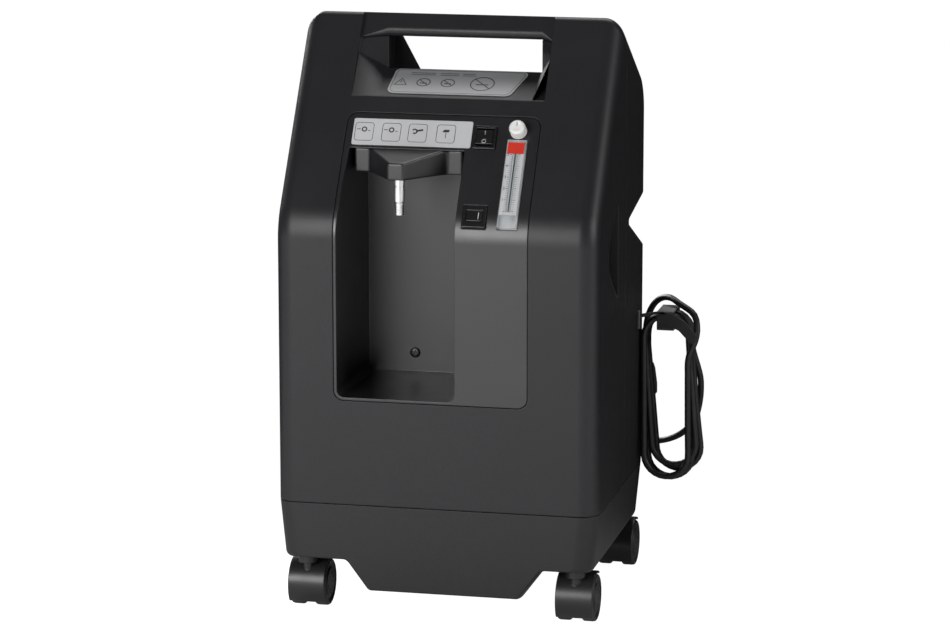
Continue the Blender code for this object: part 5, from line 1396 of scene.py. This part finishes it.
def coil_route(turns):
    """The winding: up the right side, over the top, down the left side and round the bottom."""
    low, high, radius = COIL_LOW_Z, COIL_HIGH_Z, COIL_FOLD_RADIUS
    straight = high - low
    arc = math.pi * radius
    loop = 2 * (straight + arc)
    start = straight * 0.80
    points = []
    count = 44 * turns + 2
    for k in range(count + 1):
        travelled = start + loop * turns * k / count
        share = k / count
        around = travelled % loop
        lobe = int((travelled - straight - arc / 2) // loop) + 1
        sway = math.sin(share * turns * 2.4 + 0.6)
        if around < straight:
            x, z = radius + 0.0008 * sway * math.sin(math.pi * around / straight), low + around
        elif around < straight + arc:
            turn = (around - straight) / radius
            x, z = radius * math.cos(turn), high + radius * math.sin(turn)
        elif around < 2 * straight + arc:
            x, z = -radius, high - (around - straight - arc)
        else:
            turn = math.pi + (around - 2 * straight - arc) / radius
            x, z = radius * math.cos(turn), low + radius * math.sin(turn)
        down = min(max((high - z) / straight, 0.0), 1.0)
        points.append((COIL_X + x + COIL_FAN[lobe] * down, COIL_Y + COIL_BACK - COIL_SPAN * share,
                       z + COIL_RAISE[lobe] * down))
    return points


def tail_route():
    """The free end: over the top of the coil, then straight down behind it to the plug."""
    reach = math.hypot(*TAIL_ACROSS)
    points = []
    for k in range(7):
        turn = math.radians(69 + 18.5 * k)
        across = -math.cos(turn)
        points.append((
            TAIL_TURN_CENTRE[0] + TAIL_ACROSS[0] * across, TAIL_TURN_CENTRE[1] + TAIL_ACROSS[1] * across,
            TAIL_TURN_CENTRE[2] + reach * math.sin(turn),
        ))
    points.append((TAIL_TURN_CENTRE[0] + TAIL_ACROSS[0], TAIL_TURN_CENTRE[1] + TAIL_ACROSS[1],
                   PLUG_TOP_Z + 0.0203))
    return points


def plug_piece(end_x, end_y):
    """The moulded plug body with its grip ridges and ribbed relief."""
    low, top = PLUG_TOP_Z - 0.036, PLUG_TOP_Z
    rows = []
    for share, grow in ((0.0, -0.0012), (0.04, 0.0), (0.30, 0.0), (0.55, -0.0012), (0.80, -0.0024),
                        (0.95, -0.0042), (1.0, -0.0058)):
        z = low + (top - low) * share
        outline = rounded_box_outline(0.026 + 2 * grow, 0.020 + 2 * grow, 0.0065 + grow, 6, (end_x, end_y))
        rows.append([(x, y, z) for x, y in outline])
    body = loft("plug_outer", rows)
    rings = [(0.0, 0.0)]
    for k in range(5):
        z = 0.0006 + 0.0038 * k
        radius = 0.0064 - 0.00035 * k
        rings += [(radius, z), (radius, z + 0.0024), (radius - 0.0012, z + 0.0026),
                  (radius - 0.0012, z + 0.0036)]
    rings.append((0.0, 0.0198))
    boolean(body, lathe("relief", rings, (end_x, end_y, top - 0.0002), (0, 0, 1), 32), "UNION")
    return body


class CONCENTRATOR_OT_cord(bpy.types.Operator):
    """The mains lead with its gland, coil, plug and strap"""

    bl_idname = "concentrator.cord"
    bl_label = "Mains lead"

    def execute(self, context):
        detail = context.scene.concentrator_detail
        jacket = rubber("cord jacket", (0.014, 0.014, 0.015), 0.44, 1.5)
        coil = coil_route(detail.coil_turns)
        joining = [(0.2322, 0.1272, 0.2180), *coil[1:-1]]
        last = Vector(coil[-1])
        rise = [
            (last.x + 0.0015, last.y, last.z + 0.009), (0.2335, 0.0868, 0.2640), (0.2345, 0.0905, 0.2780),
            (0.2290, 0.0985, 0.2905),
        ]
        route = smooth_route([*CORD_ROUTE, *joining, tuple(last), *rise, *tail_route()], 0.006)
        length = sum((b - a).length for a, b in zip(route, route[1:]))
        curve = bpy.data.curves.new("mains_lead", "CURVE")
        curve.dimensions = "3D"
        curve.bevel_depth = detail.cord_diameter / 2
        curve.bevel_resolution = 4
        curve.use_fill_caps = True
        spline = curve.splines.new("POLY")
        spline.points.add(len(route) - 1)
        for knot, point in zip(spline.points, route):
            knot.co = (*point, 1.0)
        spline.use_smooth = True
        curve.materials.append(jacket)
        lead = bpy.data.objects.new("mains_lead", curve)
        workshop("finished").objects.link(lead)
        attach(lead, "cabinet")
        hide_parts("power_cord", "power_cord_end", "cord_coil")

        moulding = rubber("plug rubber", CORD_BLACK, 0.55)
        rings = []
        for k in range(5):
            z, radius = 0.0060 + 0.0052 * k, 0.0062 - 0.0003 * k
            rings += [(radius, z), (radius, z + 0.0034), (radius - 0.0011, z + 0.0036),
                      (radius - 0.0011, z + 0.0050)]
        profile = [
            (0.0, -0.0125), (0.0074, -0.0125), (0.0074, 0.0004), (0.0110, 0.0004), (0.0110, 0.0040),
            (0.0095, 0.0054), *rings, (0.0043, 0.0338), (0.0, 0.0340),
        ]
        gland = lathe("gland_outer", profile, (GLAND_X, REAR_Y, GLAND_Z), (0, 1, 0))
        gland = settle(gland, "lead_gland", moulding, "cabinet", ["cord_gland"])
        end_x, end_y = TAIL_TURN_CENTRE[0] + TAIL_ACROSS[0], TAIL_TURN_CENTRE[1] + TAIL_ACROSS[1]
        plug = settle(plug_piece(end_x, end_y), "mains_plug", moulding, "cabinet",
                      ["power_plug"])
        blades = [
            box("blade", (end_x + k * 0.00635 - 0.0008, end_y - 0.0032, PLUG_TOP_Z - 0.0535),
                (end_x + k * 0.00635 + 0.0008, end_y + 0.0032, PLUG_TOP_Z - 0.0352), Matrix(), 0.0003, 2)
            for k in (-1, 1)
        ]
        pin = cylinder("pin", (end_x, end_y + 0.0060, PLUG_TOP_Z - 0.0446), (0, 0, 1), 0.0024, 0.0190)
        meshes = [evaluated(blades[1]), evaluated(pin)]
        drop(blades[1])
        drop(pin)
        brass = metal("brass blades", (0.78, 0.60, 0.30), 0.28)
        pins = settle(blades[0], "plug_blades", brass, "cabinet", extra=meshes)
        strap = settle(strap_band(), "lead_strap", woven("strap webbing", CORD_BLACK), "cabinet",
                       ["cord_strap"])
        return {"FINISHED"}


def strap_band():
    """The hook-and-loop strap: a foot on the flank, a band round the top of the coil and a free tail."""
    outer, inner = COIL_FOLD_RADIUS + 0.0033, COIL_FOLD_RADIUS - 0.0095
    half = STRAP_DEPTH / 2
    wide, clear, thick = 0.009, 0.0008, 0.0018
    top = COIL_HIGH_Z + outer + clear
    under = COIL_HIGH_Z + math.sqrt(inner ** 2 - wide ** 2) - clear
    x = COIL_X
    front, back = COIL_Y - half - clear, COIL_Y + half + clear
    ring = rounded_box_outline(back - front + 2 * thick, top - under + 2 * thick, 0.004, 6,
                               (COIL_Y, (top + under) / 2))
    band = prism("band_outer", ring, "X", x - wide, x + wide)
    hole = rounded_box_outline(back - front, top - under, 0.0022, 6, (COIL_Y, (top + under) / 2))
    boolean(band, prism("band_hole", hole, "X", x - wide - 0.01, x + wide + 0.01))
    flank = HALF_WIDTH + GAP
    arm = [(flank, top - 0.006), (flank + 0.012, top - 0.0035), (x - wide, top - 0.0010), (x, top - 0.001),
           (x, top + thick), (x - wide, top + thick), (flank + 0.012, top + 0.0005), (flank, top - 0.002)]
    boolean(band, prism("arm", arm, "Y", front - thick, front - 0.0002), "UNION")
    foot = rounded_box_outline(0.0100, 0.020, 0.003, 5, (front - 0.0052, top - 0.0070))
    boolean(band, prism("foot", foot, "X", flank, flank + thick), "UNION")
    tail = [(x - 0.006, top - 0.010), (x - 0.006, top + thick), (x + 0.004, top + 0.001),
            (x + 0.022, top - 0.008), (x + 0.037, top - 0.026), (x + 0.029, top - 0.033),
            (x + 0.015, top - 0.018)]
    soft = round_outline(tail, [0.0, 0.002, 0.010, 0.012, 0.0015, 0.0015, 0.010], [0, 4, 6, 6, 3, 3, 6])
    boolean(band, prism("tail", soft, "Y", front - thick, front - 0.0002), "UNION")
    return band


# ---- Rear fittings -------------------------------------------------------------------------------------
class CONCENTRATOR_OT_rear(bpy.types.Operator):
    """The filter door with its foam, the vent bars and the blank plate"""

    bl_idname = "concentrator.rear"
    bl_label = "Rear fittings"

    def execute(self, context):
        wanted, detail = context.scene.concentrator_finish, context.scene.concentrator_detail
        black = moulded("moulded panel", tuple(wanted.panel))
        width, height = DOOR_SIZE
        clear = 0.0008
        outline = rounded_box_outline(width - 2 * clear, height - 2 * clear, 0.0012, 4,
                                      (0.0, DOOR_Z + height / 2))
        door = prism("door_outer", outline, "Y", REAR_Y - 0.0030, REAR_Y)
        pitch = (height - 0.024) / 8
        for i in range(8):
            slot = rounded_box_outline(width - 0.024, 0.0045, 0.0020, 5, (0.0, DOOR_Z + 0.01625 + pitch * i))
            boolean(door, prism(f"slot_{i}", slot, "Y", REAR_Y - 0.02, REAR_Y + 0.02))
        settle(door, "door_moulding", black, "door", ["filter_door"])
        repaint(foam("filter foam", (0.08, 0.08, 0.082)), "filter_foam")
        repaint(moulded("grey plastic", (0.28, 0.285, 0.29), 0.45), "filter_tray", "intake_muffler")
        repaint(printed("pale overlay", tuple(wanted.overlay)), "rating_plate")
        bar = box("bar", (-0.0008, REAR_Y - 0.0026, VENT_Z - 0.001),
                  (0.0008, REAR_Y - 0.0006, VENT_Z + VENT_PITCH * (VENT_SLOTS - 1) + VENT_HEIGHT + 0.001),
                  Matrix(), 0.0003, 2)
        step = (VENT_WIDTH - 0.014) / (detail.vent_bars - 1)
        bars = repeated(bar, detail.vent_bars, (step, 0, 0), (0, 0, 0), black,
                        Matrix.Translation((-VENT_WIDTH / 2 + 0.007, 0, 0)))
        settle(piece_of(bars), "vent_bars", black, "cabinet")
        head = lathe("head", [(0.0, 0.0010), (0.0018, 0.0012), (0.0034, 0.0008), (0.0040, 0.0002),
                              (0.0040, -0.0006), (0.0, -0.0006)], (0, 0, 0), (0, 1, 0), 28)
        steel = metal("blackened steel", (0.06, 0.06, 0.06), 0.34)
        heads = []
        for z in (0.136, 0.4175):
            more = head.copy()
            workshop("making").objects.link(more)
            heads.append(repeated(more, 2, (0.236, 0, 0), (0, 0, 0), steel,
                                  Matrix.Translation((-0.118, REAR_Y, z))))
        drop(head)
        settle(piece_of(heads[0]), "case_screws", steel, "cabinet", extra=heads[1:])
        return {"FINISHED"}


class CONCENTRATOR_OT_inside(bpy.types.Operator):
    """Finishes on the pieces inside the cabinet"""

    bl_idname = "concentrator.inside"
    bl_label = "Inner pieces"

    def execute(self, context):
        black = moulded("switch plastic", (0.011, 0.011, 0.011), 0.26, 0.00003, 0.5)
        repaint(cast("cast aluminium", (0.55, 0.56, 0.57)), "compressor_motor", "compressor_head_left",
                "compressor_head_right", "valve_block")
        repaint(metal("zinc plate", (0.62, 0.63, 0.64), 0.34), "compressor_plate")
        repaint(rubber("plug rubber", CORD_BLACK, 0.55), *[f"isolator_{k}" for k in range(1, 5)])
        repaint(moulded("white plastic", (0.78, 0.78, 0.76), 0.38), "sieve_bed_left", "sieve_bed_right",
                "product_tank", "bacteria_filter")
        repaint(moulded("circuit board", (0.03, 0.16, 0.07), 0.40, 0.00004), "circuit_board")
        repaint(black, "fan_frame", "fan_rotor")
        return {"FINISHED"}


# ---- Stage ---------------------------------------------------------------------------------------------
def soft_light(name, place, target, size, power, colour=(1.0, 1.0, 1.0)):
    lamp = bpy.data.lights.new(name, "AREA")
    lamp.shape = "RECTANGLE"
    lamp.size, lamp.size_y = size
    lamp.energy = power
    lamp.color = colour
    item = bpy.data.objects.new(name, lamp)
    item.location = place
    item.rotation_euler = (Vector(target) - Vector(place)).to_track_quat("-Z", "Y").to_euler()
    bpy.context.scene.collection.objects.link(item)


class CONCENTRATOR_OT_stage(bpy.types.Operator):
    """Pale floor, soft studio light and camera"""

    bl_idname = "concentrator.stage"
    bl_label = "Floor, light and camera"

    def execute(self, context):
        scene = context.scene
        wanted = scene.concentrator_stage
        eye, target = Vector((0.8339, -3.6749, 1.0521)), Vector((0.0088, 0.0, 0.2972))
        camera = bpy.data.objects.new("camera", bpy.data.cameras.new("camera"))
        camera.data.lens = wanted.lens
        camera.data.sensor_width = 36.0
        camera.data.clip_end = 60.0
        camera.location = eye
        camera.rotation_euler = (target - eye).to_track_quat("-Z", "Y").to_euler()
        scene.collection.objects.link(camera)
        scene.camera = camera

        sweep = [(-9.0, 0.0), (3.0, 0.0)]
        sweep += [(3.0 + 2.5 * math.sin(math.pi / 2 * k / 16), 2.5 - 2.5 * math.cos(math.pi / 2 * k / 16))
                  for k in range(1, 17)]
        sweep.append((5.5, 9.0))
        bm = bmesh.new()
        rows = [[bm.verts.new((x, y, z)) for y, z in sweep] for x in (-14.0, 14.0)]
        for k in range(len(sweep) - 1):
            bm.faces.new((rows[0][k], rows[1][k], rows[1][k + 1], rows[0][k + 1]))
        mesh = bpy.data.meshes.new("studio_floor")
        bm.to_mesh(mesh)
        bm.free()
        mesh.shade_smooth()
        # The camera sees a plain white floor. To every other ray it glows ahead of the cabinet, which gives
        # the upright faces their sheen, and it is dark behind, which keeps the sides deep.
        finish = Finish("floor")
        depth = finish.node("ShaderNodeSeparateXYZ", None, {"Vector": finish.place()}, 1)
        ahead = finish.node("ShaderNodeMapRange", None, {"Value": depth, "From Min": 0.3, "From Max": -0.5})
        seen = finish.node("ShaderNodeLightPath", output="Is Camera Ray")
        mesh.materials.append(finish.surface({
            "Base Color": finish.shade(ahead, (0.02, 0.02, 0.02), tuple(wanted.floor)),
            "Roughness": 0.9, "Specular IOR Level": 0.0, "Emission Strength": 1.0,
            "Emission Color": finish.shade(seen.most(ahead * FLOOR_GLOW), (0.0, 0.0, 0.0), (1.0, 1.0, 1.0)),
        }))
        floor = bpy.data.objects.new("studio_floor", mesh)
        scene.collection.objects.link(floor)

        world = bpy.data.worlds.new("surround")
        world.use_nodes = True
        light = world.node_tree.nodes["Background"]
        light.inputs["Color"].default_value = (1.0, 1.0, 1.0, 1.0)
        light.inputs["Strength"].default_value = wanted.world
        scene.world = world
        soft_light("key", (-1.2, -3.2, 1.3), (0.0, 0.0, 0.30), (1.8, 1.4), wanted.key)
        soft_light("top", (0.0, 1.2, 2.4), (0.0, 0.0, 0.3), (1.6, 1.2), wanted.key * 0.35)
        soft_light("side", (2.5, -0.5, 1.2), (0.1, 0.0, 0.3), (1.0, 1.4), wanted.key * 0.28)
        soft_light("back", (-2.0, 2.5, 1.6), (0.0, 0.0, 0.3), (1.6, 1.2), wanted.key * 1.1)
        scene.view_settings.view_transform = "Standard"
        return {"FINISHED"}


class CONCENTRATOR_PT_build(bpy.types.Panel):
    """The concentrator's sizes, colours and build steps"""

    bl_idname = "CONCENTRATOR_PT_build"
    bl_label = "Oxygen concentrator"
    bl_space_type = "VIEW_3D"
    bl_region_type = "UI"
    bl_category = "Concentrator"

    def draw(self, context):
        for group in (context.scene.concentrator_finish, context.scene.concentrator_detail,
                      context.scene.concentrator_stage):
            column = self.layout.column()
            for name in group.__annotations__:
                column.prop(group, name)
        for step in STEPS:
            self.layout.operator(step.bl_idname)


STEPS = (
    CONCENTRATOR_OT_stage, CONCENTRATOR_OT_cord, CONCENTRATOR_OT_shells, CONCENTRATOR_OT_panel,
    CONCENTRATOR_OT_overlays, CONCENTRATOR_OT_switches, CONCENTRATOR_OT_meter, CONCENTRATOR_OT_base,
    CONCENTRATOR_OT_casters, CONCENTRATOR_OT_rear, CONCENTRATOR_OT_inside,
)
CLASSES = (ConcentratorFinish, ConcentratorDetail, ConcentratorStage, *STEPS, CONCENTRATOR_PT_build)


def register():
    for item in CLASSES:
        bpy.utils.register_class(item)
    bpy.types.Scene.concentrator_finish = PointerProperty(type=ConcentratorFinish)
    bpy.types.Scene.concentrator_detail = PointerProperty(type=ConcentratorDetail)
    bpy.types.Scene.concentrator_stage = PointerProperty(type=ConcentratorStage)


def unregister():
    del bpy.types.Scene.concentrator_stage
    del bpy.types.Scene.concentrator_detail
    del bpy.types.Scene.concentrator_finish
    for item in reversed(CLASSES):
        bpy.utils.unregister_class(item)


def main():
    register()
    bpy.ops.concentrator.stage()
    bpy.ops.concentrator.cord()
    bpy.ops.concentrator.shells()
    bpy.ops.concentrator.panel()
    bpy.ops.concentrator.overlays()
    bpy.ops.concentrator.switches()
    bpy.ops.concentrator.meter()
    bpy.ops.concentrator.base()
    bpy.ops.concentrator.casters()
    bpy.ops.concentrator.rear()
    bpy.ops.concentrator.inside()
    making = workshop("making")
    for item in list(making.objects):
        drop(item)


if __name__ == "__main__":
    main()
